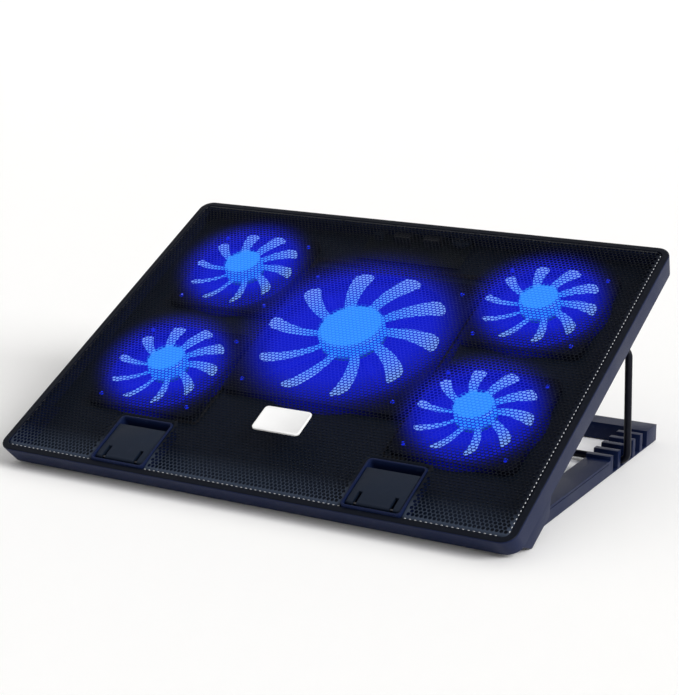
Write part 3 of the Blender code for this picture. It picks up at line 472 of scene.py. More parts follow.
coats = {
    "navy": (mouldedPlastic, "navyMoulding", {
        "colour": (0.0048, 0.0100, 0.040), "rough": 0.42, "grain": 2600.0, "grainDepth": 0.00006,
        "specular": 0.10, "rub": (0.02, 0.03, 0.07)}),
    # A darker copy of the navy moulding: painted shade for the rim's level top faces.
    "rim": (mouldedPlastic, "rimMoulding", {
        "colour": (0.0025, 0.004, 0.009), "rough": 0.40, "grain": 2600.0, "grainDepth": 0.00006,
        "specular": 0.10, "rub": (0.01, 0.014, 0.03)}),
    "dark": (mouldedPlastic, "darkMoulding", {
        "colour": (0.0062, 0.0115, 0.0245), "rough": 0.45, "grain": 2200.0, "grainDepth": 0.00006,
        "specular": 0.16, "rub": (0.015, 0.02, 0.04)}),
    # The sheet's paler front colour is a painted highlight on the strands.
    "sheet": (perforatedSteel, "powderCoat", {
        "colour": (0.0022, 0.0040, 0.0090), "rough": 0.40, "grain": 1500.0, "grainDepth": 0.00003,
        "specular": 0.09, "worn": (0.034, 0.046, 0.072), "wearStart": 0.009, "wearEnd": 0.030}),
    "fan": (litPlastic, "fanMoulding", {
        "colour": (0.003, 0.004, 0.010), "rough": 0.6, "grain": 2000.0, "grainDepth": 0.00004,
        "specular": 0.1, "lit": 0.95}),
    "inside": (litPlastic, "casingInside", {
        "colour": (0.003, 0.004, 0.008), "rough": 0.65, "grain": 2000.0, "grainDepth": 0.00005,
        "specular": 0.1, "lit": 0.85}),
    "rotor": (litRotor, "litRotor", {
        "colour": (0.010, 0.030, 0.120), "rough": 0.35, "hubShare": 0.36, "hubLight": (0.026, 0.285, 1.0),
        "tipLight": (0.19, 0.36, 0.86), "skirtDark": -0.0098, "skirtLit": -0.0066, "skirtShare": 0.14}),
    "lamp": (clearLamp, "blueLamp", {
        "colour": (0.01, 0.03, 0.5), "rough": 0.1, "light": (0.006, 0.02, 1.0), "power": 0.5}),
    "winding": (brushedMetal, "copperWinding", {
        "colour": (0.42, 0.17, 0.07), "rough": 0.42, "metal": 0.9, "grain": 300.0, "grainDepth": 0.0001}),
    "steel": (brushedMetal, "platedSteel", {
        "colour": (0.55, 0.56, 0.58), "rough": 0.3, "metal": 1.0}),
    # Bright bare metal for the edge beads, which also stand in for a painted glint.
    "bare": (brushedMetal, "bareEdge", {
        "colour": (0.50, 0.51, 0.54), "rough": 0.5, "metal": 0.5}),
    "socket": (brushedMetal, "blackNickel", {
        "colour": (0.10, 0.10, 0.11), "rough": 0.35, "metal": 1.0}),
    "wire": (mouldedPlastic, "wireCoating", {
        "colour": (0.0015, 0.002, 0.007), "rough": 0.36, "grain": 1500.0, "grainDepth": 0.00003,
        "specular": 0.14, "rub": (0.01, 0.012, 0.02)}),
    "rubber": (mouldedPlastic, "footRubber", {
        "colour": (0.010, 0.010, 0.011), "rough": 0.8, "grain": 1400.0, "grainDepth": 0.00008,
        "rub": (0.03, 0.03, 0.03)}),
    "plate": (mouldedPlastic, "whitePlate", {
        "colour": (0.96, 0.96, 0.96), "rough": 0.3, "grain": 1800.0, "grainDepth": 0.00001,
        "rub": (0.94, 0.94, 0.95)}),
    "board": (mouldedPlastic, "solderMask", {
        "colour": (0.004, 0.007, 0.008), "rough": 0.45, "grain": 900.0,
        "specular": 0.2, "rub": (0.01, 0.02, 0.02)}),
    "lead": (mouldedPlastic, "leadJacket", {
        "colour": (0.010, 0.010, 0.012), "rough": 0.5, "grain": 1600.0,
        "specular": 0.2, "rub": (0.03, 0.03, 0.03)}),
}


# Casing

def deckLoop(inset, z, drafted=True, steps=20):
    # The casing's outline at height z; side draft and front undercut grow with depth.
    down = -z / deck["height"] if drafted else 0.0
    side = inset + deck["draft"] * down
    front = inset + deck["undercut"] * down
    half = deck["width"] / 2 - side
    radius = max(deck["corner"] - inset, 0.002)
    return lift(roundedLoop(-half, half, front, deck["depth"] - side, radius, steps), z)


rearPorts = {"middleZ": -0.0072, "spacing": 0.024, "width": 0.0132, "height": 0.0066, "gap": 0.0003,
             "dialX": 0.033, "dialRadius": 0.008, "dialThick": 0.003, "dialProud": 0.0015, "dialDepth": 0.003,
             "dialSide": 0.0009, "dialGap": 0.00045, "buttonX": -0.033, "buttonWidth": 0.007,
             "buttonHeight": 0.0042, "buttonLength": 0.007, "buttonProud": 0.0012, "reach": 0.001}


def boxShell(low, high):
    loop = np.array([[low[0], low[1]], [high[0], low[1]], [high[0], high[1]], [low[0], high[1]]])
    return shellOf(np.stack([lift(loop, low[2]), lift(loop, high[2])]))


def rearCutters():
    # The dial's opening is as wide as its chord behind the wall: root of radius squared less rest squared.
    p = rearPorts
    y = (deck["depth"] - deck["wall"] - deck["draft"] - p["reach"], deck["depth"] + p["reach"])
    chord = math.sqrt(p["dialRadius"] ** 2 - (p["dialRadius"] - p["dialProud"] - p["dialDepth"]) ** 2)
    wide, tall = p["width"] / 2 + p["gap"], p["height"] / 2 + p["gap"]
    spans = [(side * p["spacing"] / 2, wide, tall) for side in (-1, 1)]
    spans += [(p["dialX"], chord + p["dialSide"], p["dialThick"] / 2 + p["dialGap"])]
    spans += [(p["buttonX"], p["buttonWidth"] / 2 + p["gap"], p["buttonHeight"] / 2 + p["gap"])]
    shells = [boxShell((x - wide, y[0], p["middleZ"] - tall), (x + wide, y[1], p["middleZ"] + tall))
              for x, wide, tall in spans]
    return joinShells("rearCutters", shells)


def makeCasing(material, shadedRimMaterial):
    # Rim, rounded outer edge, drafted wall and the ledge under the sheet, carried round the outline. The
    # level faces of the rim take a darker copy of the moulding, painted shade on the upward faces.
    r = deck["edgeRound"]
    low = -deck["ledgeDrop"] - deck["ledgeThick"]
    turn = np.radians(np.linspace(90, 0, 7))
    outer = [(r - r * math.cos(a), -r + r * math.sin(a)) for a in turn]
    foot = [(0.0, -deck["height"] + 0.0005), (0.0005, -deck["height"]), (deck["wall"], -deck["height"]),
            (deck["wall"], low)]
    shelf = [(deck["ledge"], low), (deck["ledge"], -deck["ledgeDrop"]), (deck["rim"], -deck["ledgeDrop"]),
             (deck["rim"], -0.0004), (deck["rim"] - 0.0004, 0.0)]
    loops = [deckLoop(inset, z) for inset, z in outer + foot]
    loops += [deckLoop(inset, z, False) for inset, z in shelf]
    casing = skinLoops("casingShell", loops, ring=True)
    carve(casing, rearCutters())
    faces = casing.data.polygons
    middle, facing = np.empty(len(faces) * 3), np.empty(len(faces) * 3)
    faces.foreach_get("center", middle)
    faces.foreach_get("normal", facing)
    # Level faces on top get the darker rim material: painted shade.
    shadedRimFaces = (middle[2::3] > -0.0004) & (facing[2::3] > 0.6)
    finishPiece(placeOnDeck(casing), material, "pad", ["top_cover"], 28.0)
    casing.data.materials.append(shadedRimMaterial)
    faces.foreach_set("material_index", shadedRimFaces.astype(np.int32))
    return casing


ear = {"inner": 0.1802, "outer": 0.1885, "front": 0.0135, "toe": 0.0238, "heel": 0.0520, "slope": 0.008,
       "depth": 0.0272, "soft": 0.0009}


def makeEar(side, material):
    # Hinge ear: a trapezium below the side wall, rounded where it meets the table.
    top = -deck["height"] + 0.002
    rear = ear["heel"] + ear["slope"]
    outline = [(ear["front"], top), (ear["front"], -deck["height"]), (ear["toe"], -ear["depth"]),
               (ear["heel"], -ear["depth"]), (rear, -deck["height"]), (rear, top)]
    low, high = sorted((side * ear["inner"], side * ear["outer"]))
    piece = skinLoops("hingeEar" + ("Left" if side < 0 else "Right"), carryAlongX(outline, (low, high)))
    softenEdges(piece, ear["soft"])
    return finishPiece(placeOnDeck(piece), material, "pad")


stop = {"width": 0.0375, "length": 0.030, "thick": 0.0026, "barrel": 0.0018, "slotWidth": 0.0028,
        "slotLength": 0.0112, "slotInset": 0.0062, "slotStart": -0.0024, "bore": 0.0011}
well = {"side": 0.0006, "frontGap": 0.0024, "finger": 0.0062, "floor": -0.008, "wall": 0.0016,
        "rise": 0.0006, "corner": 0.0022}


def makeWell(label, material):
    # Tray with a raised lip: outer wall up, over the lip, down the inner wall to the floor.
    axis = deckAxis("stop_" + label + "_flip")
    half = stop["width"] / 2 + well["side"]
    yLow = axis[1] - stop["barrel"] - well["frontGap"]
    yHigh = axis[1] + stop["length"] + well["finger"]
    top = deck["crown"] + well["rise"]
    steps = [(well["wall"], well["floor"] - well["wall"]), (well["wall"], top - 0.0005),
             (well["wall"] - 0.0002, top - 0.0001), (well["wall"] - 0.0006, top), (0.0006, top),
             (0.0002, top - 0.0001), (0.0, top - 0.0005), (0.0, well["floor"] + 0.0008),
             (-0.0008, well["floor"])]
    loops = [lift(roundedLoop(axis[0] - half - g, axis[0] + half + g, yLow - g, yHigh + g,
                              max(well["corner"] + g * 0.7, 0.0005), 6), z) for g, z in steps]
    tray = skinLoops("stopWell" + label.capitalize(), loops)
    return finishPiece(placeOnDeck(tray), material, "pad")


def makeStop(label, material):
    # Flap outline: a half-round hinge barrel, then a flat plate with soft edges and two slots open in front.
    axis = deckAxis("stop_" + label + "_flip")
    top = deck["crown"] - 0.0002 - axis[2]
    low = top - stop["thick"]
    barrel = arcPoints((0.0, 0.0), stop["barrel"], 78, 285, 20)
    plate = [(0.0026, low), (stop["length"], low), (stop["length"], top), (0.0022, top)]
    outline = np.concatenate([barrel, plate]) + (axis[1], axis[2])
    half = stop["width"] / 2
    loops = carryAlongX(outline, (axis[0] - half, axis[0] + half))
    piece = skinLoops("stopFlap" + label.capitalize(), loops)
    softenEdges(piece, 0.0004, 2, 50.0)
    slots = []
    for edge in (-1, 1):
        x = axis[0] + edge * (half - stop["slotInset"])
        start = axis[1] + stop["slotStart"]
        slots.append(boxShell((x - stop["slotWidth"] / 2, start, axis[2] - 0.01),
                              (x + stop["slotWidth"] / 2, start + stop["slotLength"], axis[2] + 0.01)))
    carve(piece, joinShells("stopSlots", slots))
    turn = turnedLoops([(stop["bore"], 0.0), (stop["bore"], stop["width"] + 0.002)], 20)
    bore = turn[..., [2, 0, 1]] + axis - (half + 0.001, 0.0, 0.0)
    carve(piece, skinLoops("stopBore", bore))
    return finishPiece(placeOnDeck(piece), material, "stop_" + label, ["stop_" + label])


# Perforated sheet

sheet = {"pitch": 0.0029, "row": 0.0029 * math.sqrt(3) / 2, "hole": 0.00142, "thick": 0.0004, "roll": 0.003,
         "frontSlope": 0.018, "parts": 3, "gap": 0.0003, "edgeDrop": 0.0019}


def distanceToRect(x, y, xLow, xHigh, yLow, yHigh, radius):
    # Signed distance to a rounded rectangle, negative inside.
    qx = np.abs(x - (xLow + xHigh) / 2) - (xHigh - xLow) / 2 + radius
    qy = np.abs(y - (yLow + yHigh) / 2) - (yHigh - yLow) / 2 + radius
    outside = np.hypot(np.maximum(qx, 0), np.maximum(qy, 0))
    return outside + np.minimum(np.maximum(qx, qy), 0) - radius


def outerDistance(x, y):
    edge = deck["rim"] + sheet["gap"]
    half = deck["width"] / 2 - edge
    return distanceToRect(x, y, -half, half, edge, deck["depth"] - edge, deck["corner"] - edge)


def sheetDistance(x, y):
    # Outside of the sheet: beyond its edge or inside a well's window.
    away = outerDistance(x, y)
    for label in ("left", "right"):
        axis = deckAxis("stop_" + label + "_flip")
        grow = well["side"] + well["wall"] + sheet["gap"]
        half = stop["width"] / 2 + grow
        rear = axis[1] + stop["length"] + well["finger"] + well["wall"] + sheet["gap"]
        window = distanceToRect(x, y, axis[0] - half, axis[0] + half, -0.03, rear, 0.002)
        away = np.maximum(away, -window)
    return away


def sheetHeight(x, y):
    # Flat field at the crown; the edges roll down on a quarter ellipse and the front band slopes.
    near = np.clip(1 + outerDistance(x, y) / sheet["roll"], 0, 1)
    drop = (1 - np.sqrt(np.maximum(1 - near ** 2, 0))) * sheet["edgeDrop"]
    front = deck["rim"] + sheet["gap"]
    band = np.clip(1 - (y - front) / sheet["frontSlope"], 0, 1)
    return deck["crown"] - np.maximum(drop, band ** 1.5 * sheet["edgeDrop"] * 0.95)


def settleOnEdge(x, y):
    # Lattice points outside the sheet slide back along the distance gradient onto its edge.
    step = 1e-5
    for _round in range(3):
        away = sheetDistance(x, y)
        gx = (sheetDistance(x + step, y) - sheetDistance(x - step, y)) / (2 * step)
        gy = (sheetDistance(x, y + step) - sheetDistance(x, y - step)) / (2 * step)
        push = np.where(away > 0, away, 0.0) / np.maximum(np.hypot(gx, gy), 0.3)
        x, y = x - push * gx, y - push * gy
    return x, y


def sheetPart(columns, rows, lowColumn, highColumn, xStart, yStart):
    # Staggered cells, each a six-point ring round a six-sided hole; rows share their half-pitch points.
    pitch, row = sheet["pitch"], sheet["row"]
    line, k = np.meshgrid(np.arange(rows + 1), np.arange(2 * columns + 3), indexing="ij")
    latticeX, latticeY = settleOnEdge(xStart + k * pitch / 2, yStart + line * row)
    j, i = np.meshgrid(np.arange(rows), np.arange(lowColumn, highColumn), indexing="ij")
    j, i = j.ravel(), i.ravel()
    first = 2 * i + j % 2
    centreX, centreY = xStart + (first + 1) * pitch / 2, yStart + (j + 0.5) * row
    away = sheetDistance(centreX, centreY)
    keep = away < pitch * 0.25
    j, i, first, centreX, centreY, away = (a[keep] for a in (j, i, first, centreX, centreY, away))
    wide = 2 * columns + 3
    near, far = j * wide + first, (j + 1) * wide + first
    ring = np.stack([near, near + 1, near + 2, far + 2, far + 1, far], -1)
    holed = away < -(sheet["hole"] + 0.00025)
    turn = np.radians(np.array([-150, -90, -30, 30, 90, 150]))
    holeX = centreX[holed, None] + sheet["hole"] * np.cos(turn)
    holeY = centreY[holed, None] + sheet["hole"] * np.sin(turn)
    count = latticeX.size
    x = np.concatenate([latticeX.ravel(), holeX.ravel()])
    y = np.concatenate([latticeY.ravel(), holeY.ravel()])
    top = np.stack([x, y, sheetHeight(x, y)], -1)
    total = len(x)
    low = top - (0.0, 0.0, sheet["thick"])
    holeRing = count + np.arange(holeX.size).reshape(-1, 6)
    outer, nextOuter = ring[holed], np.roll(ring[holed], -1, 1)
    nextHole = np.roll(holeRing, -1, 1)
    strand = np.stack([outer, nextOuter, nextHole, holeRing], -1).reshape(-1, 4)
    wall = np.stack([holeRing, nextHole, nextHole + total, holeRing + total], -1).reshape(-1, 4)
    solid = ring[~holed]
    edges = np.stack([ring, np.roll(ring, -1, 1)], -1).reshape(-1, 2)
    key = np.sort(edges, 1)
    _unique, index, counts = np.unique(key[:, 0] * total + key[:, 1], return_index=True, return_counts=True)
    rim = edges[index[counts == 1]]
    side = np.stack([rim[:, 1], rim[:, 0], rim[:, 0] + total, rim[:, 1] + total], -1)
    faces = [strand, strand[:, ::-1] + total, wall, solid, solid[:, ::-1] + total, side]
    return np.concatenate([top, low]), faces


def dropUnused(points, faceSets):
    used = np.unique(np.concatenate([f.ravel() for f in faceSets]))
    renumber = np.full(len(points), -1)
    renumber[used] = np.arange(len(used))
    return points[used], [renumber[f] for f in faceSets if len(f)]


def makeSheet(material):
    edge = deck["rim"] + sheet["gap"]
    wide, deep = deck["width"] - 2 * edge, deck["depth"] - 2 * edge
    columns = int(wide / sheet["pitch"]) + 2
    rows = int(deep / sheet["row"]) + 2
    xStart = -(columns + 0.5) * sheet["pitch"] / 2
    yStart = deck["depth"] / 2 - rows * sheet["row"] / 2
    cuts = np.linspace(0, columns, sheet["parts"] + 1).astype(int)
    names = ("Left", "Middle", "Right")
    for n, (low, high) in enumerate(zip(cuts[:-1], cuts[1:])):
        points, faces = dropUnused(*sheetPart(columns, rows, low, high, xStart, yStart))
        name = "perforatedSheet" + names[n]
        piece = fillMesh(name, deckToWorld(points), faces)
        piece.data.materials.append(material)
        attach(piece, "pad")
        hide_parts("mesh_panel")


bead = {"pitch": 0.0035, "long": 0.0008, "wide": 0.00034, "tall": 0.0003, "inset": 0.00042, "rings": 4,
        "sides": 8}


def makeEdgeGlintBeads(material):
    # Bare cut strand ends along the front and the right, also a painted glint: half ellipsoids just inside
    # the edge.
    edge = deck["rim"] + sheet["gap"] + bead["inset"]
    halfX, deepY = deck["width"] / 2 - edge, deck["depth"] - edge
    clear = deck["corner"] - edge
    acrossX = np.arange(-halfX + clear, halfX - clear, bead["pitch"])
    backY = np.arange(edge + clear, deepY - clear, bead["pitch"])
    rows = [(acrossX, np.full_like(acrossX, edge), False), (np.full_like(backY, halfX), backY, True)]
    rise = np.linspace(0.0, math.pi * 0.47, bead["rings"])[:, None]
    turn = np.linspace(0, 2 * math.pi, bead["sides"], endpoint=False)[None, :]
    shells = []
    # Only the front and right rows: the sides where the painted glints fall.
    for xs, ys, sideways in rows:
        keep = sheetDistance(xs, ys) < -0.5 * bead["inset"]
        reach = (bead["wide"], bead["long"]) if sideways else (bead["long"], bead["wide"])
        for x, y in zip(xs[keep], ys[keep]):
            z = sheetHeight(x, y) + bead["tall"] * np.sin(rise)
            shells.append(shellOf(np.stack([x + reach[0] * np.cos(rise) * np.cos(turn),
                                            y + reach[1] * np.cos(rise) * np.sin(turn),
                                            np.broadcast_to(z, (bead["rings"], bead["sides"]))], -1)))
    beads = joinShells("sheetEdgeBeads", shells)
    return finishPiece(placeOnDeck(beads), material, "pad", (), 60.0)


label = {"width": 0.0355, "depth": 0.0225, "y": 0.0665, "gap": 0.0003, "thick": 0.0012, "corner": 0.003}


def makeLabel(material):
    # Blank plate with a rounded edge and a shallow dished face.
    base = deck["crown"] + label["gap"]
    steps = [(0.0, 0.0), (0.0, 0.7), (0.0001, 0.9), (0.0004, 1.0), (0.0012, 1.0), (0.0016, 0.86)]
    halfX, halfY = label["width"] / 2, label["depth"] / 2
    loops = [lift(roundedLoop(-halfX + g, halfX - g, label["y"] - halfY + g, label["y"] + halfY - g,
                              label["corner"] - g, 8), base + share * label["thick"]) for g, share in steps]
    plate = skinLoops("labelPlate", loops)
    return finishPiece(placeOnDeck(plate), material, "pad", ["label_plate"])


# Fans

rotor = {"blades": 10, "start": 0.35, "hubSmall": 0.014, "hubBig": 0.0235, "top": -0.0006, "skirt": -0.0115,
         "bladeMiddle": -0.0056, "sweep": 14.0, "rootShare": 0.044, "tipShare": 0.1125, "roundShare": 0.13,
         "lift": 0.0013, "thick": 0.0006, "chamfer": 0.0016}


def bladeShells(tip, hub, centre):
    # u runs out along the blade and v round its section. Half width grows from root to tip and closes on a
    # quarter of a rounded square; angle is the sweep plus half width times cos v over the radius, and height
    # is the pitch plus thickness times sin v.
    u = np.concatenate([np.linspace(0, 1 - rotor["roundShare"], 14),
                        1 - rotor["roundShare"] * (1 - np.sin(np.linspace(0.1, math.pi / 2, 11)))])[:, None]
    v = np.linspace(0, 2 * math.pi, 20, endpoint=False)[None, :]
    radius = hub * 0.94 + (tip - hub * 0.94) * u
    wide = tip * (rotor["rootShare"] + (rotor["tipShare"] - rotor["rootShare"]) * u)
    past = np.clip((u - 1 + rotor["roundShare"]) / rotor["roundShare"], 0, 0.999)
    wide = wide * (1 - past ** 2.4) ** (1 / 2.4)
    across = wide * np.sign(np.cos(v)) * np.abs(np.cos(v)) ** 0.7
    thick = rotor["thick"] * np.sign(np.sin(v)) * np.abs(np.sin(v)) ** 0.7 * (1 - 0.9 * past ** 4)
    z = rotor["bladeMiddle"] + rotor["lift"] * across / (tip * rotor["tipShare"]) + thick
    shells = []
    for n in range(rotor["blades"]):
        turn = 2 * math.pi * (n + rotor["start"]) / rotor["blades"]
        angle = turn - math.radians(rotor["sweep"]) * u ** 1.3 + across / radius
        loops = np.stack([centre[0] + radius * np.cos(angle), centre[1] + radius * np.sin(angle), z], -1)
        shells.append(shellOf(loops))
    return shells


def makeRotor(name, centre, tip, material):
    hub = rotor["hubBig"] if name == "centre" else rotor["hubSmall"]
    top, skirt = rotor["top"], rotor["skirt"]
    soft = rotor["chamfer"]
    corner = arcPoints((hub - soft, top - soft), soft, 0, 90, 6).tolist()
    profile = [(0.0002, skirt), (hub - 0.0004, skirt), (hub, skirt + 0.0004)] + corner
    dish = top - 0.0002
    profile += [(hub * 0.84, top), (hub * 0.82, dish), (hub * 0.3, dish), (0.0002, dish)]
    shells = [shellOf(turnedLoops(profile, 72, centre))] + bladeShells(tip, hub, centre)
    piece = joinShells("fanBlades_" + name, shells)
    node = "fan_rotor_" + name
    return finishPiece(placeOnDeck(piece), material, node, [node], 40.0)


lamps = {"radius": 0.0015, "reach": 1.24, "top": -0.0072, "height": 0.0018}


def makeLamps(name, centre, tip, material):
    # Four round-nosed lamps on the corners of each housing: a quarter circle over a straight shank.
    radius, top = lamps["radius"], lamps["top"]
    nose = arcPoints((0.0, top - radius), radius, 0, 88, 5)
    profile = np.concatenate([[(radius, top - lamps["height"])], nose])
    spots = arcPoints(centre, tip * lamps["reach"], 45, 315, 3)
    shells = [shellOf(turnedLoops(profile, 16, spot)) for spot in spots]
    piece = joinShells("fanLamps_" + name, shells)
    return finishPiece(placeOnDeck(piece), material, "pad")


screen = {"reach": 1.12, "grow": 0.002, "low": -0.0139, "high": -0.0136}


def makeDustAndShadeScreen(name, centre, tip, material):
    # Thin dust screen that closes the vents under a fan: also a dark sheet, painted shade that keeps the
    # floor's light out.
    radius = tip * screen["reach"] + screen["grow"]
    loops = turnedLoops([(radius, screen["low"]), (radius, screen["high"])], 64, centre)
    return finishPiece(placeOnDeck(skinLoops("dustScreen_" + name, loops)), material, "pad")


# Prop wire

wire = {"radius": 0.0025, "pivotY": 0.212, "pivotZ": -0.0257, "legX": 0.1826, "footBend": 0.006,
        "topBend": 0.0065, "endX": 0.1505, "sides": 24}


def makeWire(material):
    # Round wire carried along the route: foot bar, corner, leg, corner, end; mirrored about the middle.
    foot = np.array(joints["bail_fold"]["pos_m"])
    top = deckToWorld((0.0, wire["pivotY"], wire["pivotZ"]))
    rise = top - foot
    height = float(np.hypot(rise[1], rise[2]))
    along = rise / height
    footBend, topBend = wire["footBend"], wire["topBend"]
    lower = arcPoints((wire["legX"] - footBend, footBend), footBend, -90, 0, 12)
    upper = arcPoints((wire["legX"] - topBend, height - topBend), topBend, 0, 90, 16)
    half = np.concatenate([lower, upper, [(wire["endX"] + 0.0004, height), (wire["endX"], height)]])
    flat = np.concatenate([half[::-1] * (-1, 1), half])
    step = np.gradient(flat, axis=0)
    step /= np.linalg.norm(step, axis=1, keepdims=True)
    turn = np.linspace(0, 2 * math.pi, wire["sides"], endpoint=False)
    radius = np.full(len(flat), wire["radius"])
    radius[[0, -1]] -= 0.0005  # broken edge at both cut ends
    side = np.stack([-step[:, 1], step[:, 0]], -1)
    inPlane = flat[:, None, :] + side[:, None, :] * (radius[:, None] * np.cos(turn))[..., None]
    outOfPlane = radius[:, None] * np.sin(turn)
    sideways = np.array((1.0, 0.0, 0.0))
    across = np.cross(sideways, along)
    loops = foot + inPlane[..., :1] * sideways + inPlane[..., 1:] * along + outOfPlane[..., None] * across
    return finishPiece(skinLoops("propWire", loops), material, "bail", ["bail"], 50.0)


# Base

base = {"outer": 0.1795, "arm": 0.0175, "armTop": 0.011, "bottom": 0.0008, "length": 0.273,
        "barDepth": 0.016, "barTop": 0.0125, "knuckle": 0.005, "ribs": 5, "pitch": 0.014, "ribThick": 0.005,
        "firstRib": 0.186, "ribTop": 0.0135, "slotFloor": 0.0016, "bore": 0.0025, "shoulder": 0.020,
        "soft": 0.0011, "grooveStart": 0.022, "grooveEnd": 0.0055, "grooveDepth": 0.0005, "grooveLow": 0.0021,
        "grooveHigh": 0.0016}


def standY(y):
    # Distance back from the front rim's edge, measured in the world.
    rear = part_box("base_frame")[1].y
    return y + rear - base["length"]


def armOutline():
    # Side view: knuckle round the hinge, sloping shoulder, flat top, then ribs and slots.
    hingeY, hingeZ = deckHinge[1], deckHinge[2]
    rearWall = base["firstRib"] + base["pitch"] * base["ribs"] - base["ribThick"] / 2
    floor, ribTop = base["slotFloor"], base["ribTop"]
    points = [(base["length"], base["bottom"]), (base["length"], base["barTop"]), (rearWall, base["barTop"]),
              (rearWall, floor)]
    for n in reversed(range(base["ribs"])):
        back = base["firstRib"] + base["pitch"] * n + base["ribThick"] / 2
        front = back - base["ribThick"]
        points += [(back, floor), (back, ribTop), (front, ribTop), (front, floor if n else base["armTop"])]
    points = [(standY(y), z) for y, z in points] + [(hingeY + base["shoulder"], base["armTop"])]
    points += arcPoints((hingeY, hingeZ), base["knuckle"], 70, 205, 16).tolist()
    return points + [(hingeY + 0.002, base["bottom"])]


def makeBase(material):
    shells = []
    inner = base["outer"] - base["arm"]
    for side in (-1, 1):
        places = sorted((side * inner, side * base["outer"]))
        shells.append(shellOf(carryAlongX(armOutline(), places)))
    frameOfBase = joinShells("baseFrame", shells)
    barFront, barRear = standY(base["length"] - base["barDepth"]), standY(base["length"])
    bar = joinShells("rearBar", [boxShell((-inner - 0.002, barFront, base["bottom"]),
                                          (inner + 0.002, barRear, base["barTop"]))])
    carve(frameOfBase, bar, "UNION")
    softenEdges(frameOfBase, base["soft"], 3, 45.0)
    turn = turnedLoops([(base["bore"], -0.2), (base["bore"], 0.2)], 28)
    carve(frameOfBase, skinLoops("hingeBore", turn[..., [2, 0, 1]] + deckHinge * (0.0, 1.0, 1.0)))
    grooves = []
    for side in (-1, 1):
        edge = side * base["outer"]
        low, high = sorted((edge - side * base["grooveDepth"], edge + side * 0.001))
        rear = standY(base["firstRib"] - base["grooveEnd"])
        grooves.append(boxShell((low, deckHinge[1] + base["grooveStart"], base["armTop"] - base["grooveLow"]),
                                (high, rear, base["armTop"] - base["grooveHigh"])))
    carve(frameOfBase, joinShells("sideGrooves", grooves))
    return finishPiece(frameOfBase, material, "base", ["base_frame"], 30.0)


def makeFeet(material):
    # Pads with a rounded lower edge, one under each end of each arm.
    for name in ("foot_front_left", "foot_front_right", "foot_rear_left", "foot_rear_right"):
        low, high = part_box(name)
        loops = []
        for g, z in ((0.0004, 0.0), (0.0001, 0.0002), (0.0, 0.0004), (0.0, high.z)):
            outline = roundedLoop(low.x + g, high.x - g, low.y + g, high.y - g, 0.003 - g, 8)
            loops.append(lift(outline, z))
        finishPiece(skinLoops("pad_" + name, loops), material, "base", [name])


# Controls

def makeDial(material):
    # Knurled wheel: the rim's radius ripples with the cosine of 32 times the angle; its top face is dished.
    axis = deckAxis("speed_dial_turn")
    radius, half = rearPorts["dialRadius"], rearPorts["dialThick"] / 2
    steps = [(0.30, -half), (0.80, -half), (0.93, -half), (1.0, -half * 0.7), (1.0, half * 0.7), (0.93, half),
             (0.80, half), (0.78, half - 0.0003), (0.35, half - 0.0003), (0.30, half)]
    turn = np.linspace(0, 2 * math.pi, 192, endpoint=False)
    ripple = 1 - 0.045 * (0.5 - 0.5 * np.cos(turn * 32))
    loops = []
    for share, z in steps:
        reach = radius * share * (ripple if share == 1.0 else 1.0)
        x, y = axis[0] + reach * np.cos(turn), axis[1] + reach * np.sin(turn)
        loops.append(np.stack([x, y, np.full_like(x, axis[2] + z)], -1))
    wheel = skinLoops("speedWheel", loops)
    return finishPiece(placeOnDeck(wheel), material, "speed_dial", ["speed_dial"], 40.0)


def makeButton(material):
    # Stem with a crowned face that stands just out of the rear wall.
    p = rearPorts
    x, z = p["buttonX"], p["middleZ"]
    wide, tall = p["buttonWidth"] / 2, p["buttonHeight"] / 2
    front, face = deck["depth"] - p["buttonLength"], deck["depth"] + p["buttonProud"] - 0.0005
    steps = [(0.0, front), (0.0, face - 0.0008), (0.0002, face - 0.0003), (0.0006, face),
             (0.0014, face + 0.0001)]
    loops = []
    for g, y in steps:
        ring = roundedLoop(x - wide + g, x + wide - g, z - tall + g, z + tall - g, 0.0010 - g * 0.5, 5)
        loops.append(np.stack([ring[:, 0], np.full(len(ring), y), ring[:, 1]], -1))
    key = skinLoops("powerKey", loops)
    return finishPiece(placeOnDeck(key), material, "power_button", ["power_button"], 40.0)


def makePortTongues(plastic, metal):
    # Each socket's tongue with four contacts under it.
    p = rearPorts
    y = (deck["depth"] - 0.0140, deck["depth"] - 0.0030)
    for side, name in ((-1, "Left"), (1, "Right")):
        x = side * p["spacing"] / 2
        tongue = joinShells("portTongue" + name, [boxShell((x - 0.0053, y[0], p["middleZ"] + 0.0002),
                                                          (x + 0.0053, y[1], p["middleZ"] + 0.0020))])
        softenEdges(tongue, 0.0003, 2)
        finishPiece(placeOnDeck(tongue), plastic, "pad")
        fingers = [boxShell((x + k * 0.0024 - 0.0005, y[0] + 0.001, p["middleZ"] - 0.0001),
                            (x + k * 0.0024 + 0.0005, y[1] - 0.001, p["middleZ"] + 0.0003))
                   for k in (-1.5, -0.5, 0.5, 1.5)]
        contacts = joinShells("portContacts" + name, fingers)
        finishPiece(placeOnDeck(contacts), metal, "pad")


screws = {"radius": 0.0024, "head": 0.0010, "recess": 0.0004, "reach": 0.62}


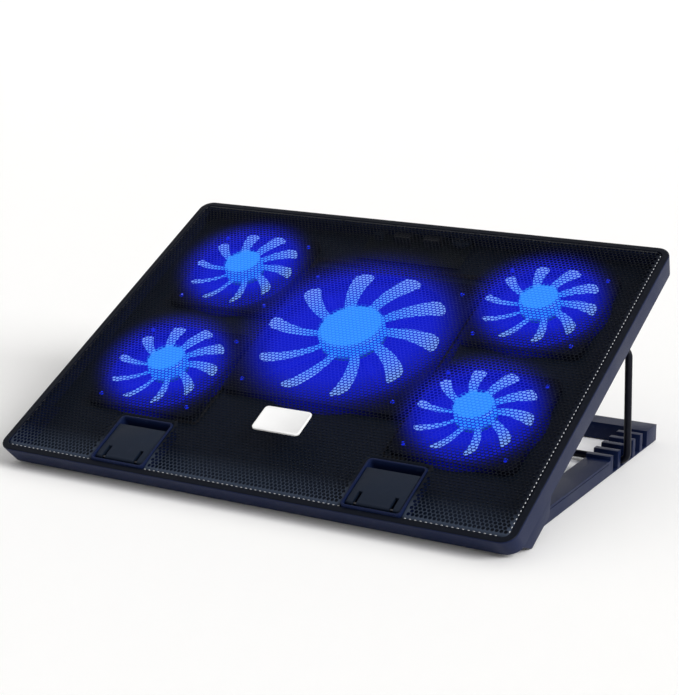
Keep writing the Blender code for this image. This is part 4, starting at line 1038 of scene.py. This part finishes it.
def makeScrews(material):
    # Domed head whose height dips in a cross-shaped recess: a polar grid of heights.
    radius, head = screws["radius"], screws["head"]
    share = np.concatenate([np.linspace(0.02, 0.9, 14), [0.97, 1.0, 1.0]])[:, None]
    turn = np.linspace(0, 2 * math.pi, 64, endpoint=False)[None, :]
    dome = head * np.sqrt(np.maximum(1 - (share * 0.93) ** 2, 0))
    arm = np.minimum(np.abs(np.sin(turn)), np.abs(np.cos(turn))) * share * radius
    recess = np.clip(1 - arm / screws["recess"], 0, 1) * np.clip((screws["reach"] - share) * 8, 0, 1)
    height = dome - recess * head * 0.6
    height[-1] = 0.0
    for n in range(6):
        low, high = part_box("cover_screw_%d" % (n + 1))
        middle = worldToDeck((low + high) / 2)
        x, y = middle[0] + share * radius * np.cos(turn), middle[1] + share * radius * np.sin(turn)
        loops = np.stack([x, y, -deck["height"] + head - height * 0.95], -1)
        screw = skinLoops("coverScrew%d" % (n + 1), loops)
        finishPiece(placeOnDeck(screw), material, "pad", ["cover_screw_%d" % (n + 1)], 50.0)


def dressFrame(materials):
    # Finishes for the CAD nodes that stay.
    single = {"bottom_cover": "dark", "control_board": "board", "dial_post": "steel", "button_switch": "dark"}
    paired = {"usb_socket_": "socket", "hinge_pin_": "steel", "stop_pin_": "socket", "bail_socket_": "navy"}
    perFan = {"fan_housing_": "fan", "fan_stator_": "winding", "fan_lead_": "lead"}
    coated = list(single.items())
    coated += [(node + side, key) for node, key in paired.items() for side in ("left", "right")]
    coated += [(node + name, key) for node, key in perFan.items() for name in fanNames]
    for node, key in coated:
        piece = frame["nodes"][node]
        piece.data.materials.clear()
        piece.data.materials.append(materials[key])


# Studio

studio = {"floor": 5.0, "back": 2.6, "bend": 1.2, "wall": 4.0, "camera": (0.5831, -1.0408, 0.3880),
          "azimuth": 29.295, "elevation": 14.631, "lens": 93.83, "ambient": 0.53, "key": 2.75}


def makeStudio():
    # Floor that curves up into a backdrop: a profile carried along x.
    bend = arcPoints((studio["back"], studio["bend"]), studio["bend"], -90, 0, 12)
    rear = studio["back"] + studio["bend"]
    profile = np.concatenate([[(-studio["floor"], 0.0)], bend, [(rear, studio["wall"])]])
    places = np.linspace(-studio["floor"], studio["floor"], 5)
    floor = fillMesh("floor", carryAlongX(profile, places), [gridFaces(5, len(profile))])
    paper = {"colour": (0.965, 0.962, 0.955), "rough": 0.8, "specular": 0.1}
    material, shader = startMaterial("palePaper", paper)
    addBump(material, shader, noiseOf(material, objectPlace(material), 40.0), 0.0002)
    floor.data.materials.append(material)
    floor.data.shade_smooth()


def addSun(name, direction, strength, softness):
    # Turned so that its beam comes from the given direction.
    data = bpy.data.lights.new(name, "SUN")
    data.energy = strength
    data.angle = math.radians(softness)
    lamp = bpy.data.objects.new(name, data)
    bpy.context.scene.collection.objects.link(lamp)
    x, y, z = direction
    lamp.rotation_euler = (math.atan2(math.hypot(x, y), z), 0.0, math.atan2(y, x) + math.pi / 2)


def makeLights():
    world = bpy.data.worlds.new("studioWorld")
    bpy.context.scene.world = world
    world.use_nodes = True
    background = world.node_tree.nodes["Background"]
    background.inputs["Color"].default_value = (1.0, 0.992, 0.985, 1.0)
    background.inputs["Strength"].default_value = studio["ambient"]
    addSun("keyLight", (0.83, -0.12, 0.55), studio["key"], 32.0)
    bpy.context.scene.view_settings.view_transform = "Standard"


def makeCamera():
    data = bpy.data.cameras.new("camera")
    data.lens = studio["lens"]
    camera = bpy.data.objects.new("camera", data)
    bpy.context.scene.collection.objects.link(camera)
    camera.location = studio["camera"]
    camera.rotation_euler = (math.radians(90 - studio["elevation"]), 0.0, math.radians(studio["azimuth"]))
    bpy.context.scene.camera = camera


makeCamera()
materials = {key: make(name, finish) for key, (make, name, finish) in coats.items()}
dressFrame(materials)
print("materials made")
makeCasing(materials["navy"], materials["rim"])
for earSide in (-1, 1):
    makeEar(earSide, materials["navy"])
for hand in ("left", "right"):
    makeWell(hand, materials["navy"])
    makeStop(hand, materials["dark"])
print("casing and stops made")
makeSheet(materials["sheet"])
makeEdgeGlintBeads(materials["bare"])
makeLabel(materials["plate"])
print("perforated sheet made")
for fanName, fanCentre, fanTip in fans:
    makeRotor(fanName, fanCentre, fanTip, materials["rotor"])
    makeLamps(fanName, fanCentre, fanTip, materials["lamp"])
    makeDustAndShadeScreen(fanName, fanCentre, fanTip, materials["inside"])
print("fans made")
makeWire(materials["wire"])
makeBase(materials["navy"])
makeFeet(materials["rubber"])
print("stand made")
makeDial(materials["dark"])
makeButton(materials["dark"])
makePortTongues(materials["dark"], materials["steel"])
makeScrews(materials["steel"])
print("controls made")
makeStudio()
makeLights()
